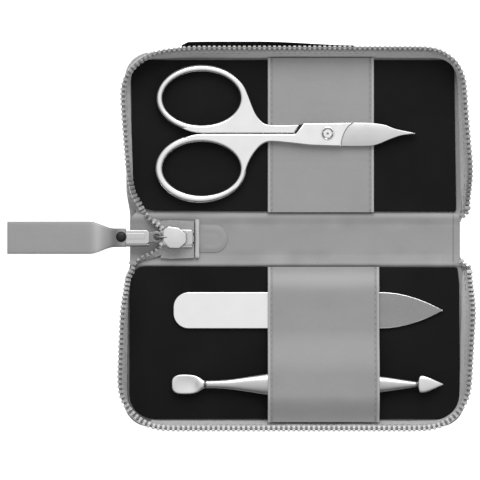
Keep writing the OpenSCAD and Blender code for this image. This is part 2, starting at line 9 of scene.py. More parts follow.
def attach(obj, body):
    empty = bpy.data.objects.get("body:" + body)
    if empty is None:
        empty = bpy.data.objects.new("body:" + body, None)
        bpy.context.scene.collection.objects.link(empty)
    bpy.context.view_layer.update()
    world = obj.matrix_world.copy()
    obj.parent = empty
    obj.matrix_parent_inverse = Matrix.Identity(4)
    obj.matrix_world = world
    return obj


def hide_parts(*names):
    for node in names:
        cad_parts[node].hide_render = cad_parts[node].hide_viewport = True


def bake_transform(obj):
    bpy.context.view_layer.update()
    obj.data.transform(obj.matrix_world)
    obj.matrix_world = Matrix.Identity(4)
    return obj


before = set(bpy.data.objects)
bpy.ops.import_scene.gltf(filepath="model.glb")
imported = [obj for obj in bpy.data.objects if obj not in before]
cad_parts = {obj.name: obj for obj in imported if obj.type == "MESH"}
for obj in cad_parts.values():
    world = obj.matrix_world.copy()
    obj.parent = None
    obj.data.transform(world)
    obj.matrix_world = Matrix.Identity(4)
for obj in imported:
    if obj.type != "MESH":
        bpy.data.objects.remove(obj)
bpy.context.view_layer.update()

# Sizes are in millimetres. A half is drawn with x across and d, the distance from its fold line.
MM = 0.001
FOLD_Y = 9.0
INSIDE_Z = 2.4
PANEL_TOP = 3.7
COVER_T = 0.9
LINING_T = 0.5
FOOT_X, FOOT_D, FOOT_R = 57.3, 53.9, 8.0
RIM_X, RIM_D, RIM_R = 59.7, 56.3, 13.5
RIM_TOP = 11.25
WALL_END_Z = 4.6
WALL_RAMP = 16.0
TOOTH_H = 1.5
TOOTH_PITCH = 1.7
FIRST_D = 0.8
SPINE_X = 56.0

VIEW_MIDDLE = (-18.56, -0.17, 5.0)
VIEW_WIDTH = 163.2


def ease(t):
    t = min(1.0, max(0.0, t))
    return t * t * (3 - 2 * t)


def rise(d, start, end):
    return ease((d - start) / (end - start))


def place_camera():
    """Straight above the open case, with a long lens so that the walls hardly lean."""
    lens = bpy.data.cameras.new("camera")
    lens.lens = 300
    lens.sensor_width = 36
    lens.clip_end = 20
    camera = bpy.data.objects.new("camera", lens)
    x, y, z = VIEW_MIDDLE
    camera.location = (x * MM, y * MM, z * MM + VIEW_WIDTH * MM * lens.lens / lens.sensor_width)
    bpy.context.scene.collection.objects.link(camera)
    bpy.context.scene.camera = camera


place_camera()


# Finishes

class Feed:
    """A value that varies over a surface, written in plain sums."""

    def __init__(self, finish, socket):
        self.finish = finish
        self.socket = socket

    def sum(self, operation, first, second):
        return self.finish.node("ShaderNodeMath", {"operation": operation}, {0: first, 1: second})

    def __add__(self, other):
        return self.sum("ADD", self, other)

    def __sub__(self, other):
        return self.sum("SUBTRACT", self, other)

    def __rsub__(self, other):
        return self.sum("SUBTRACT", other, self)

    def __mul__(self, other):
        return self.sum("MULTIPLY", self, other)

    def __truediv__(self, other):
        return self.sum("DIVIDE", self, other)

    def __pow__(self, other):
        return self.sum("POWER", self, other)

    def __gt__(self, other):
        return self.sum("GREATER_THAN", self, other)

    __radd__ = __add__
    __rmul__ = __mul__


class Finish:
    """A material of one finish, with the sums that vary it."""

    def __init__(self, name, colour, roughness, **fixed):
        self.material = bpy.data.materials.new(name)
        self.material.use_nodes = True
        self.tree = self.material.node_tree
        self.shader = self.tree.nodes["Principled BSDF"]
        self.shader.inputs["Base Color"].default_value = (*colour, 1)
        self.shader.inputs["Roughness"].default_value = roughness
        for socket, value in fixed.items():
            self.shader.inputs[socket.replace("_", " ")].default_value = value

    def node(self, kind, settings, sockets, output=0):
        made = self.tree.nodes.new(kind)
        for name, value in settings.items():
            if name == "stops":
                self.set_stops(made.color_ramp, value)
            else:
                setattr(made, name, value)
        for name, value in sockets.items():
            if isinstance(value, Feed):
                self.tree.links.new(value.socket, made.inputs[name])
            else:
                made.inputs[name].default_value = value
        return Feed(self, made.outputs[output])

    def set_stops(self, ramp, stops):
        while len(ramp.elements) < len(stops):
            ramp.elements.new(0.5)
        for element, (place, value) in zip(ramp.elements, stops):
            element.position = place
            element.color = (value, value, value, 1)

    def place(self):
        return self.node("ShaderNodeTexCoord", {}, {}, "Object")

    def attribute(self, name, output="Vector"):
        return self.node("ShaderNodeAttribute", {"attribute_name": name}, {}, output)

    def stretched(self, place, scale, turn=(0, 0, 0)):
        return self.node("ShaderNodeMapping", {}, {"Vector": place, "Scale": scale, "Rotation": turn})

    def clouds(self, place, scale, detail=3.0, rough=0.55):
        return self.node("ShaderNodeTexNoise", {}, {
            "Vector": place, "Scale": scale, "Detail": detail, "Roughness": rough})

    def cells(self, place, scale, feature="F1", spread=1.0):
        return self.node("ShaderNodeTexVoronoi", {"feature": feature}, {
            "Vector": place, "Scale": scale, "Randomness": spread})

    def ramp(self, value, stops):
        return self.node("ShaderNodeValToRGB", {"stops": stops}, {"Fac": value})

    def wave(self, value):
        return self.node("ShaderNodeMath", {"operation": "SINE"}, {0: value})

    def parts(self, place):
        return [self.node("ShaderNodeSeparateXYZ", {}, {"Vector": place}, axis) for axis in "XYZ"]

    def mix(self, share, first, second):
        made = self.tree.nodes.new("ShaderNodeMix")
        made.data_type = "RGBA"
        for index, value in ((0, share), (6, first), (7, second)):
            if isinstance(value, Feed):
                self.tree.links.new(value.socket, made.inputs[index])
            else:
                made.inputs[index].default_value = value if index == 0 else (*value, 1)
        return Feed(self, made.outputs[2])

    def feed(self, socket, value):
        self.tree.links.new(value.socket, self.shader.inputs[socket])

    def bump(self, height, depth, strength=1.0, under=None):
        sockets = {"Height": height, "Distance": depth * MM, "Strength": strength}
        if under:
            sockets["Normal"] = under
        return self.node("ShaderNodeBump", {}, sockets)


def grey(value, warmth=0.0):
    return (value * (1 + warmth), value, value * (1 - warmth))


def leather(name, tone, grain, depth, roughness):
    """Smooth grey leather: small pebbles with pores between, faint clouds, and painted highlights and painted shade
    laid on by a vertex attribute.
    """
    finish = Finish(name, grey(tone), roughness, Specular_IOR_Level=0.32)
    place = finish.place()
    pebbles = finish.cells(place, grain, "SMOOTH_F1")
    creases = finish.cells(place, grain * 0.55, "DISTANCE_TO_EDGE")
    pores = finish.clouds(place, grain * 2.6, 2.0)
    clouds = finish.clouds(place, 70, 4.0)
    height = (1 - pebbles) * 0.7 + finish.ramp(creases, [(0.0, 0.0), (0.09, 1.0)]) * 0.35 + pores * 0.25
    shade = finish.ramp(clouds * 0.75 + pebbles * 0.25, [(0.3, 0.0), (0.7, 1.0)])
    # The vertex attribute read here paints light: above zero it lightens as a painted highlight, below zero it darkens
    # as painted shade.
    wear = finish.attribute("wear", "Fac")
    worn_and_highlighted = finish.node("ShaderNodeClamp", {}, {0: wear})
    painted_shade = finish.node("ShaderNodeClamp", {}, {0: wear * -1.0})
    colour = finish.mix(shade, grey(tone * 0.95), grey(tone * 1.05))
    colour = finish.mix(worn_and_highlighted, colour, grey(tone * 1.6))
    finish.feed("Base Color", finish.mix(painted_shade, colour, grey(tone * 0.35)))
    finish.feed("Roughness", roughness - 0.06 + shade * 0.12)
    finish.feed("Normal", finish.bump(height, depth, 0.8))
    return finish.material


def nap_cloth():
    """Black cloth with a short nap: almost no shine, faint brushed patches."""
    finish = Finish("black nap cloth", grey(0.009), 0.95, Specular_IOR_Level=0.12,
                    Sheen_Weight=0.04, Sheen_Roughness=0.5)
    place = finish.place()
    fibres = finish.clouds(finish.stretched(place, (1, 0.35, 1)), 5200, 3.0, 0.7)
    patches = finish.clouds(place, 42, 3.0)
    shade = finish.ramp(patches * 0.65 + fibres * 0.35, [(0.32, 0.0), (0.68, 1.0)])
    finish.feed("Base Color", finish.mix(shade, grey(0.0065), grey(0.0118)))
    finish.feed("Normal", finish.bump(fibres, 0.05, 0.7))
    return finish.material


def woven_tape(name, tone):
    """Grey zip tape: a fine twill that follows the run of the tape, held in the weave attribute, with its cord painted
    dark as the shade between the teeth.
    """
    finish = Finish(name, grey(tone), 0.85, Specular_IOR_Level=0.15)
    run, height, share = finish.parts(finish.attribute("weave"))
    warp = finish.wave(height * 9.5)
    weft = finish.wave(run * 10.5 + height * 7.0)
    ribs = warp * 0.5 + weft * 0.5
    fuzz = finish.clouds(finish.place(), 900, 3.0)
    shade = finish.ramp(ribs * 0.22 + fuzz * 0.7 + 0.15, [(0.15, 0.0), (0.85, 1.0)])
    # The cord along the top is painted dark as the shade that falls between the teeth.
    cord = finish.ramp(share, [(0.87, 0.0), (0.9, 1.0)])
    weave = finish.mix(shade, grey(tone * 0.86), grey(tone * 1.16))
    finish.feed("Base Color", finish.mix(cord, weave, grey(tone * 0.46)))
    finish.feed("Normal", finish.bump(ribs + fuzz * 0.6, 0.06, 0.7))
    return finish.material


def metal(name, tone, roughness, brushed=(1, 1, 1), fine=900, depth=0.004, wear=0.08):
    """Plated or polished metal with fine marks, drawn out along one direction where it is brushed."""
    finish = Finish(name, grey(tone), roughness, Metallic=1.0)
    place = finish.place()
    marks = finish.clouds(finish.stretched(place, brushed), fine, 4.0, 0.6)
    smears = finish.clouds(place, 180, 3.0)
    finish.feed("Roughness", roughness - 0.05 + marks * 0.07 + smears * 0.06)
    finish.feed("Base Color", finish.mix(smears, grey(tone * (1 - wear)), grey(min(0.97, tone * (1 + wear)))))
    finish.feed("Normal", finish.bump(marks, depth, 0.6))
    return finish.material


def grit():
    """The file's rough face: closely set grains in grey, brighter where they are worn."""
    finish = Finish("file grit", grey(0.26), 0.55, Metallic=0.35)
    place = finish.place()
    grains = finish.cells(place, 3600)
    coarse = finish.clouds(place, 1500, 4.0, 0.7)
    worn_and_highlighted = finish.clouds(finish.stretched(place, (0.3, 1, 1)), 130, 3.0)
    finish.feed("Base Color", finish.mix(coarse * 0.6 + worn_and_highlighted * 0.4, grey(0.2), grey(0.36)))
    finish.feed("Roughness", 0.45 + coarse * 0.3)
    finish.feed("Normal", finish.bump(grains + coarse, 0.05, 0.9))
    return finish.material


def black_paint():
    finish = Finish("black paint", grey(0.006), 0.42, Specular_IOR_Level=0.35)
    marks = finish.clouds(finish.place(), 1600, 3.0)
    finish.feed("Roughness", 0.34 + marks * 0.2)
    finish.feed("Normal", finish.bump(marks, 0.01, 0.5))
    return finish.material


def cardboard():
    """Stiff grey-brown board with flecks of fibre, seen only at its edges."""
    finish = Finish("board", (0.36, 0.32, 0.26), 0.9, Specular_IOR_Level=0.2)
    place = finish.place()
    fibre = finish.clouds(finish.stretched(place, (1, 1, 6)), 700, 5.0, 0.7)
    finish.feed("Base Color", finish.mix(fibre, (0.27, 0.235, 0.185), (0.46, 0.42, 0.35)))
    finish.feed("Normal", finish.bump(fibre, 0.05, 0.8))
    return finish.material


def thread():
    finish = Finish("stitching thread", grey(0.36), 0.7, Specular_IOR_Level=0.2)
    twist = finish.clouds(finish.place(), 2600, 2.0)
    finish.feed("Base Color", finish.mix(twist, grey(0.3), grey(0.42)))
    finish.feed("Normal", finish.bump(twist, 0.03, 0.7))
    return finish.material


outer_leather = leather("outer leather", 0.30, 1150, 0.06, 0.5)
lining_leather = leather("lining leather", 0.315, 1900, 0.025, 0.55)
band_leather = leather("band leather", 0.315, 1700, 0.03, 0.5)
strap_leather = leather("strap leather", 0.325, 1500, 0.035, 0.48)
black_cloth = nap_cloth()
# The standing wall tape is the same tape as the flat zip tape, painted lighter as light on the walls.
wall_tape_painted_lighter = woven_tape("wall zip tape", 0.53)
zip_tape = woven_tape("flat zip tape", 0.37)
bar_tape = woven_tape("end bar tape", 0.56)
tooth_nickel = metal("tooth nickel", 0.48, 0.6)
slider_nickel = metal("slider nickel", 0.64, 0.27, fine=500)
pull_nickel = metal("pull nickel", 0.54, 0.34, fine=500)
# Dark nickel: a dull finish on the hook and eye, and painted shade in the screw's grooves and under the pull bar.
dull_nickel_and_painted_shade = metal("dull nickel", 0.24, 0.42)
scissors_steel = metal("scissors steel", 0.8, 0.22, (1, 5, 1), 700, 0.002)
file_steel = metal("file steel", 0.8, 0.3, (0.5, 6, 1), 420, 0.0006, 0.04)
ground_steel = metal("ground blade steel", 0.6, 0.3, (5, 1, 1), 600, 0.002)
# The cuticle tool is one steel: the handle is painted darker to hold down its highlight, and the tips lighter as
# painted reflection.
tool_steel = metal("tool steel", 0.49, 0.3, (0.4, 6, 6), 420, 0.0015)
tip_steel = metal("tool tip steel", 0.66, 0.3, (0.5, 5, 5), 420, 0.002)
dark_steel = metal("dark neck steel", 0.12, 0.35)
file_grit = grit()
rivet_paint = black_paint()
board = cardboard()
light_thread = thread()


# Shaping

def slab(outlines, low, thick, edge, rounds=3):
    """A flat plate with rounded edges, cut to closed outlines. An outline inside another is a hole."""
    curve = bpy.data.curves.new("outline", "CURVE")
    curve.dimensions = "2D"
    curve.fill_mode = "BOTH"
    curve.bevel_depth = edge
    curve.bevel_resolution = rounds
    curve.offset = -edge
    curve.extrude = thick / 2 - edge
    for points in outlines:
        spline = curve.splines.new("POLY")
        spline.points.add(len(points) - 1)
        for point, (x, y) in zip(spline.points, points):
            point.co = (x, y, 0, 1)
        spline.use_cyclic_u = True
    holder = bpy.data.objects.new("outline", curve)
    bpy.context.scene.collection.objects.link(holder)
    drawn = holder.evaluated_get(bpy.context.evaluated_depsgraph_get()).to_mesh()
    bm = bmesh.new()
    bm.from_mesh(drawn)
    bpy.data.objects.remove(holder)
    bpy.data.curves.remove(curve)
    bmesh.ops.remove_doubles(bm, verts=bm.verts, dist=0.002)
    bmesh.ops.translate(bm, vec=(0, 0, low + thick / 2), verts=bm.verts)
    return bm


def wire(points, radius, sides=3, closed=False):
    """A round wire through points, with closed ends."""
    curve = bpy.data.curves.new("wire", "CURVE")
    curve.dimensions = "3D"
    curve.bevel_depth = radius
    curve.bevel_resolution = sides
    curve.use_fill_caps = not closed
    spline = curve.splines.new("POLY")
    spline.points.add(len(points) - 1)
    for point, place in zip(spline.points, points):
        point.co = (*place, 1)
    spline.use_cyclic_u = closed
    holder = bpy.data.objects.new("wire", curve)
    bpy.context.scene.collection.objects.link(holder)
    drawn = holder.evaluated_get(bpy.context.evaluated_depsgraph_get()).to_mesh()
    bm = bmesh.new()
    bm.from_mesh(drawn)
    bpy.data.objects.remove(holder)
    bpy.data.curves.remove(curve)
    bmesh.ops.remove_doubles(bm, verts=bm.verts, dist=0.002)
    return bm


def sweep(sections, closed=False):
    """A skin drawn through rings of points, one ring after another. Ends are capped unless closed."""
    bm = bmesh.new()
    count = len(sections[0])
    ring = [bm.verts.new(p) for p in sections[0]]
    edges = [bm.edges.new((ring[i], ring[(i + 1) % count])) for i in range(count)]
    first = ring
    if not closed:
        bmesh.ops.contextual_create(bm, geom=edges)
    for places in sections[1:]:
        drawn = bmesh.ops.extrude_edge_only(bm, edges=edges)["geom"]
        fresh = {g for g in drawn if isinstance(g, bmesh.types.BMVert)}
        ring = [next(e.other_vert(v) for e in v.link_edges if e.other_vert(v) in fresh) for v in ring]
        for vert, place in zip(ring, places):
            vert.co = place
        edges = [bm.edges.get((ring[i], ring[(i + 1) % count])) for i in range(count)]
    if closed:
        last = edges
        start = [bm.edges.get((first[i], first[(i + 1) % count])) for i in range(count)]
        bmesh.ops.bridge_loops(bm, edges=last + start)
    else:
        bmesh.ops.contextual_create(bm, geom=edges)
    return bm


def join(base, *others):
    """Adds other shapes to a first one."""
    for other in others:
        mesh = bpy.data.meshes.new("part")
        other.to_mesh(mesh)
        other.free()
        base.from_mesh(mesh)
        bpy.data.meshes.remove(mesh)
    return base


def copies(shape, places):
    """One shape set down at each place."""
    mesh = bpy.data.meshes.new("copy")
    shape.to_mesh(mesh)
    shape.free()
    bm = bmesh.new()
    for place in places:
        known = len(bm.verts)
        bm.from_mesh(mesh)
        bm.verts.ensure_lookup_table()
        bmesh.ops.transform(bm, matrix=place, verts=bm.verts[known:])
    bpy.data.meshes.remove(mesh)
    return bm


def block(size, middle=(0, 0, 0), edge=0.0, segments=2):
    """A block with rounded edges."""
    bm = bmesh.new()
    bmesh.ops.create_cube(bm, size=1)
    bmesh.ops.scale(bm, vec=size, verts=bm.verts)
    if edge:
        bmesh.ops.bevel(bm, geom=bm.edges[:], offset=edge, offset_type="OFFSET", affect="EDGES",
                        segments=segments, profile=0.5, material=-1)
    bmesh.ops.translate(bm, vec=middle, verts=bm.verts)
    return bm


def cut_across(bm, places, normal=(0, 1, 0)):
    """Adds lines of points across a shape, so that it can bend there."""
    for place in places:
        bmesh.ops.bisect_plane(bm, geom=bm.verts[:] + bm.edges[:] + bm.faces[:],
                               plane_co=Vector(normal) * place, plane_no=normal, dist=0.0005)


def trim(bm, place, normal):
    """Cuts away what lies beyond a plane and closes the cut."""
    out = bmesh.ops.bisect_plane(bm, geom=bm.verts[:] + bm.edges[:] + bm.faces[:], plane_co=place,
                                 plane_no=normal, dist=0.0005, clear_outer=True)
    rim = [g for g in out["geom_cut"] if isinstance(g, bmesh.types.BMEdge)]
    bmesh.ops.holes_fill(bm, edges=rim)


def shift(bm, move):
    """Moves every point to where move(x, y, z) puts it."""
    for vert in bm.verts:
        vert.co = move(*vert.co)
    return bm


def on_half(bm, side):
    """Sets a shape drawn over x and d on the upper half, side 1, or the lower half, side -1."""
    return shift(bm, lambda x, d, z: (x, side * (FOLD_Y + d), z))


def piece(name, bm, finish, body=None, instead_of=(), crease=38, merge=0.0):
    """Makes a finished shape an object, in metres, with its finish and its body."""
    if merge:
        bmesh.ops.remove_doubles(bm, verts=bm.verts, dist=merge)
    bmesh.ops.recalc_face_normals(bm, faces=bm.faces)
    for edge in bm.edges:
        edge.smooth = len(edge.link_faces) != 2 or edge.calc_face_angle() < math.radians(crease)
    for face in bm.faces:
        face.smooth = True
    bmesh.ops.scale(bm, vec=(MM, MM, MM), verts=bm.verts)
    mesh = bpy.data.meshes.new(name)
    bm.to_mesh(mesh)
    bm.free()
    mesh.materials.append(finish)
    made = bpy.data.objects.new(name, mesh)
    bpy.context.scene.collection.objects.link(made)
    shading = made.modifiers.new("even shading", "WEIGHTED_NORMAL")
    shading.keep_sharp = True
    if body:
        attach(made, body)
    if instead_of:
        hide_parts(*instead_of)
    return made


def bend_at_fold(made, side):
    """Bakes a piece's placement into its mesh, the same way on either side; the piece is not bent."""
    if side > 0:
        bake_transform(made)
    else:
        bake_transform(made)


def arc(x, y, r, start, end, steps):
    turns = [math.radians(start + (end - start) * i / steps) for i in range(steps + 1)]
    return [(x + r * math.cos(a), y + r * math.sin(a)) for a in turns]


def flowing(points, steps=6, closed=True):
    """A smooth line through points."""
    count = len(points)
    line = []
    for i in range(count if closed else count - 1):
        if closed:
            a, b, c, e = (points[(i + k) % count] for k in (-1, 0, 1, 2))
        else:
            a, b = points[max(0, i - 1)], points[i]
            c, e = points[i + 1], points[min(count - 1, i + 2)]
        for s in range(steps):
            t = s / steps
            line.append(tuple(
                0.5 * (2 * q + (r - p) * t + (2 * p - 5 * q + 4 * r - v) * t * t
                       + (3 * q - p - 3 * r + v) * t ** 3)
                for p, q, r, v in zip(a, b, c, e)))
    if not closed:
        line.append(tuple(points[-1]))
    return line


# How the two soft halves depart from the even shape: each side of a rim stands a little further in,
# near the fold and at the far end, and the far side dips towards its left corner.
class Half:
    def __init__(self, name, side, left, right, far, dip, corner, cut):
        self.name = name
        self.side = side
        self.body = name + "_half"
        self.left = left
        self.right = right
        self.far = far
        self.dip = dip
        self.corner = corner
        self.cut = cut

    def pull(self, x, d):
        near, far = self.left if x < 0 else self.right
        return near + (far - near) * ease(d / 46)

    def lip(self, x, d):
        """How far the cover's edge stands out from the wall."""
        return 0.6 - 0.35 * ease(self.pull(x, d) / 3)

    def bulge(self, x):
        """How far the foot of the wall leans in over the lining, as a share of the usual."""
        return 0.35 if self is lower and x < -50 else 1.4


upper = Half("upper", 1, left=(3.8, 1.3), right=(-0.7, 2.1), far=0.6, dip=1.9, corner=0.0, cut=(2.9, 6.6))
lower = Half("lower", -1, left=(1.6, 0.3), right=(-1.4, 0.5), far=1.2, dip=0.0, corner=2.2, cut=(1.7, 4.0))
HALVES = (lower, upper)


def half_line(hx, hd, r, cut_x, cut_d):
    """The run of a wall, from the right end of the fold, round the far side, to the left end."""
    side, corner, far, cut = 26, 18, 40, 8
    line = [(hx, FIRST_D + (hd - r - FIRST_D) * (i / side) ** 1.5) for i in range(side)]
    line += arc(hx - r, hd - r, r, 0, 90, corner)
    line += [((hx - r) * (1 - 2 * i / far), hd) for i in range(1, far)]
    line += arc(r - hx, hd - r, r, 90, 180, corner)
    line += [(-hx, cut_d + (hd - r - cut_d) * (1 - i / side) ** 1.5) for i in range(1, side + 1)]
    line += [(-hx + cut_x * i / cut, cut_d + (FIRST_D - cut_d) * i / cut) for i in range(1, cut + 1)]
    return line


def rim_height(d):
    return WALL_END_Z + (RIM_TOP - WALL_END_Z) * rise(d, FIRST_D, FIRST_D + WALL_RAMP)


def smoothed(line, times):
    """The same line with its corners softened and its ends kept."""
    for unused in range(times):
        line = [line[0]] + [
            tuple((a + 2 * b + c) / 4 for a, b, c in zip(line[i - 1], line[i], line[i + 1]))
            for i in range(1, len(line) - 1)] + [line[-1]]
    return line


class Wall:
    """Where a half's wall stands: its foot, its top edge, and the way outwards at each station."""

    def __init__(self, half):
        foot_line = half_line(FOOT_X, FOOT_D, FOOT_R + 0.5 * half.corner, *half.cut)
        rim_line = half_line(RIM_X, RIM_D, RIM_R + half.corner, *half.cut)
        foot, top = [], []
        for (fx, fd), (rx, rd) in zip(foot_line, rim_line):
            share = (rim_height(rd) - COVER_T) / (RIM_TOP - COVER_T)
            pull = half.pull(rx, rd)
            x = (fx + (rx - fx) * share) * (1 - pull / RIM_X)
            inwards = (half.far + half.dip * rise(-rx, 36, 55)) * rise(rd, 30, 50)
            top.append((x, fd + (rd - fd) * share - inwards, rim_height(rd) - TOOTH_H))
            foot.append((fx * (1 - min(0.6, 0.2 * pull) / FOOT_X), fd, COVER_T))
        self.foot = smoothed(foot, 6)
        self.top = smoothed(top, 6)
        self.run = [0.0]
        for a, b in zip(self.top, self.top[1:]):
            self.run.append(self.run[-1] + (Vector(b) - Vector(a)).length)

    def outward(self, i, line=None):
        line = line or self.top
        a, b = line[max(0, i - 1)], line[min(len(line) - 1, i + 1)]
        t = Vector((b[1] - a[1], a[0] - b[0], 0))
        return t.normalized()

    def along(self, s):
        """The top edge's point and way outwards at a distance s along it."""
        i = max(k for k in range(len(self.run) - 1) if self.run[k] <= s or k == 0)
        t = (s - self.run[i]) / (self.run[i + 1] - self.run[i])
        point = Vector(self.top[i]).lerp(Vector(self.top[i + 1]), t)
        way = self.outward(i).lerp(self.outward(i + 1), t).normalized()
        ahead = (Vector(self.top[i + 1]) - Vector(self.top[i])).normalized()
        return point, way, ahead


WALLS = {half.name: Wall(half) for half in HALVES}


def marked(bm, run_of):
    """Stores how the weave runs: distance along the tape and height up it, in millimetres."""
    layer = bm.verts.layers.float_vector.new("weave")
    for vert in bm.verts:
        vert[layer] = run_of(vert.co)
    return bm


# Cover, boards and lining

def cover_edge(half):
    """The outline of the outer leather of one half and its side of the spine."""
    def edge(x_sign, d):
        reach = FOOT_X + 0.4 + half.lip(x_sign, d) - 0.2 * min(3.0, half.pull(x_sign, d))
        base = SPINE_X + (0.4 if x_sign > 0 else 0.0)
        return x_sign * (base + (reach - base) * rise(d, -2.0, 2.0 if x_sign > 0 else 9.0))
    r = FOOT_R + 1.0
    far = FOOT_D + 1.0
    steps = [-FOLD_Y - 3 + i * 1.0 for i in range(18)] + [7 + 2.2 * i for i in range(18)]
    steps = [d for d in steps if d < far - r]
    right = [(edge(1, d), d) for d in steps]
    left = [(edge(-1, d), d) for d in reversed(steps)]
    corner_right = arc(edge(1, far - r) - r, far - r, r, 0, 90, 14)
    corner_left = arc(edge(-1, far - r) + r, far - r, r, 90, 180, 14)
    return right + corner_right + corner_left + left


def gentle(x, y, size, depth):
    """Slow waves of a soft surface."""
    return depth * noise.noise(Vector((x / size, y / size, 0.37)))


HEM_X = 54.05
BEND_LINES = [7.2, 7.7] + [8.1 + 0.18 * i for i in range(11)] + [10.4]


def outer_skin(half):
    bm = on_half(slab([cover_edge(half)], 0, COVER_T, 0.34), half.side)
    trim(bm, (0, 0, 0), (0, -half.side, 0))
    cut_across(bm, [half.side * y for y in BEND_LINES])
    made = piece(half.name + "_cover_leather", bm, outer_leather,
                 instead_of=[half.name + "_cover"] + (["spine_cover"] if half is lower else []))
    bend_at_fold(made, half.side)


def lining_edge(half):
    wall = WALLS[half.name]
    line = []
    for i, (x, d, z) in enumerate(wall.foot):
        out = wall.outward(i, wall.foot)
        line.append((x - 0.5 * out.x, d - 0.5 * out.y))
    right = [(SPINE_X + 0.3, -FOLD_Y - 3), (SPINE_X + 0.3, -4), (SPINE_X + 0.2, -1.2), (SPINE_X + 0.4, -0.2)]
    last = line[-2][0]
    left = [(last - 0.1, 0.5), (last - 0.7, -0.1), (min(last - 1.4, -54.9), -1.0), (-55.75, -2.0), (-55.9, -3.5),
            (-55.9, -FOLD_Y - 3)]
    return right + line[1:-2] + left


def spine_ends():
    """Leather turned over the two ends of the spine's board."""
    ends = [block((0.5, 15.4, 1.5), (x, 0, 1.42), 0.2) for x in (SPINE_X + 0.15, 0.2 - SPINE_X)]
    piece("spine_end_leather", join(*ends), outer_leather, "spine")


def fold_roll(y):
    """The soft roll that the lining leather makes over a fold, higher on the spine's side."""
    y = abs(y)
    return 0.8 * rise(y, 4.6, 8.0) * (1 - rise(y, 8.5, 9.9)) + 0.1 * rise(y, 2.0, 4.6) * (1 - rise(y, 8.0, 9.0))


def lining_skin(half):
    bm = on_half(slab([lining_edge(half)], INSIDE_Z - LINING_T, LINING_T, 0.18, 2), half.side)
    trim(bm, (0, 0, 0), (0, -half.side, 0))
    cut_across(bm, [half.side * y for y in (1.5, 3, 4, 4.6, 5.2, 5.8, 6.4, 7.0) + tuple(BEND_LINES)])
    cut_across(bm, [-54 + 4.5 * i for i in range(24)] + [53.6, 53.85, HEM_X, 54.25, 54.5], (1, 0, 0))

    def lie(x, y, z):
        lift = fold_roll(y) * (0.9 + 0.2 * noise.noise(Vector((x / 14, half.side * 3.1, 0))))
        soft = gentle(x, y, 9.0, 0.12) * rise(abs(y), 1.0, 5.0) * (1 - rise(abs(y), 8.5, 9.5))
        hem = (0.14 * rise(x, HEM_X, HEM_X + 0.4) - 0.2 * math.exp(-((x - HEM_X) / 0.17) ** 2)) * rise(-abs(y), -8.4, -7.8)
        low = 0.35 if z < INSIDE_Z - LINING_T / 2 else 1.0
        return x, y, z + (lift + max(-0.05, soft)) * low + (hem if low == 1.0 else 0.0)
    shift(bm, lie)
    wear = bm.verts.layers.float.new("wear")
    # Painted light on the lining: a painted highlight along each fold, soft patches of painted highlight and shade, and
    # a painted shadow line at the hem.
    for vert in bm.verts:
        y = abs(vert.co.y)
        vert[wear] = (0.3 * math.exp(-((y - 8.0) / 0.7) ** 2) + 0.5 * gentle(vert.co.x, vert.co.y, 6.0, 0.5)
                      * rise(y, 2.0, 5.0) - 0.25 * math.exp(-((vert.co.x - HEM_X) / 0.2) ** 2))
    made = piece(half.name + "_lining_leather", bm, lining_leather,
                 instead_of=[half.name + "_lining"] + (["spine_lining"] if half is lower else []))
    bend_at_fold(made, half.side)


def black_panel(half):
    """The black cloth-covered board in a half, with its left near corner rounded off for the zip."""
    hd = 52.1
    if half is upper:
        right = arc(54.15, 1.4, 0.9, -90, 0, 5) + arc(50.3, hd - 4.1, 4.1, 0, 90, 12)
        left = arc(4.6 - 55.5, hd - 4.6, 4.6, 90, 180, 12) + flowing(
            [(-55.4, 15.0), (-54.9, 10.5), (-54.0, 6.0), (-52.6, 3.3), (-50.4, 1.4), (-47.5, 0.75)], 4, False)
    else:
        right = arc(54.7, 1.35, 0.9, -90, 0, 5) + [(56.1, 6.0)] + arc(51.2, hd - 5.0, 5.0, 0, 90, 12)
        left = arc(8.6 - 56.25, hd - 8.6, 8.6, 90, 180, 14) + flowing(
            [(-56.25, 20.0), (-56.2, 11.0), (-55.95, 7.0), (-55.45, 3.9), (-54.9, 2.4), (-53.8, 1.1), (-52.2, 0.3),
             (-49.5, 0.08)], 4, False)
    bm = on_half(slab([right + left], INSIDE_Z, PANEL_TOP - INSIDE_Z, 0.42), half.side)
    piece(half.name + "_black_panel", bm, black_cloth, half.body, [half.name + "_panel"])


# Walls, zip teeth and the tape over the folds

def tape_wall(half):
    """The standing zip tape: thin, a little wavy, with a cord along its top edge."""
    wall = WALLS[half.name]
    across = [(-1.1, 0.0), (-1.2, 0.14), (-1.22, 0.26), (-1.05, 0.36), (-0.72, 0.46), (-0.42, 0.6), (-0.3, 0.75),
              (-0.32, 0.88), (-0.5, 0.93), (-0.55, 1.0), (-0.42, 1.07), (0.0, 1.1), (0.42, 1.07), (0.55, 1.0),
              (0.5, 0.93), (0.3, 0.88), (0.27, 0.7), (0.3, 0.45), (0.36, 0.2), (0.4, 0.0)]
    sections = []
    for i, (foot, top) in enumerate(zip(wall.foot, wall.top)):
        out = wall.outward(i)
        foot, top = Vector(foot), Vector(top)
        ring = []
        for offset, share in across:
            wave = 0.16 * math.sin(math.pi * min(1, share)) * noise.noise(Vector((wall.run[i] / 7, share, half.side)))
            if share < 0.55 and offset < 0:
                offset = -0.3 + (offset + 0.3) * half.bulge(foot.x)
            ring.append(foot.lerp(top, share) + out * (offset + wave))
        sections.append([tuple(p) for p in ring])
    runs = {}
    for section, run in zip(sections, wall.run):
        for (x, y, z), (offset, share) in zip(section, across):
            runs[(round(x, 3), round(y, 3), round(z, 3))] = run, z, share
    bm = sweep(sections)
    marked(bm, lambda co: runs[(round(co.x, 3), round(co.y, 3), round(co.z, 3))])
    on_half(bm, half.side)
    piece(half.name + "_tape_wall", bm, wall_tape_painted_lighter, half.body, [half.name + "_wall"], crease=60)


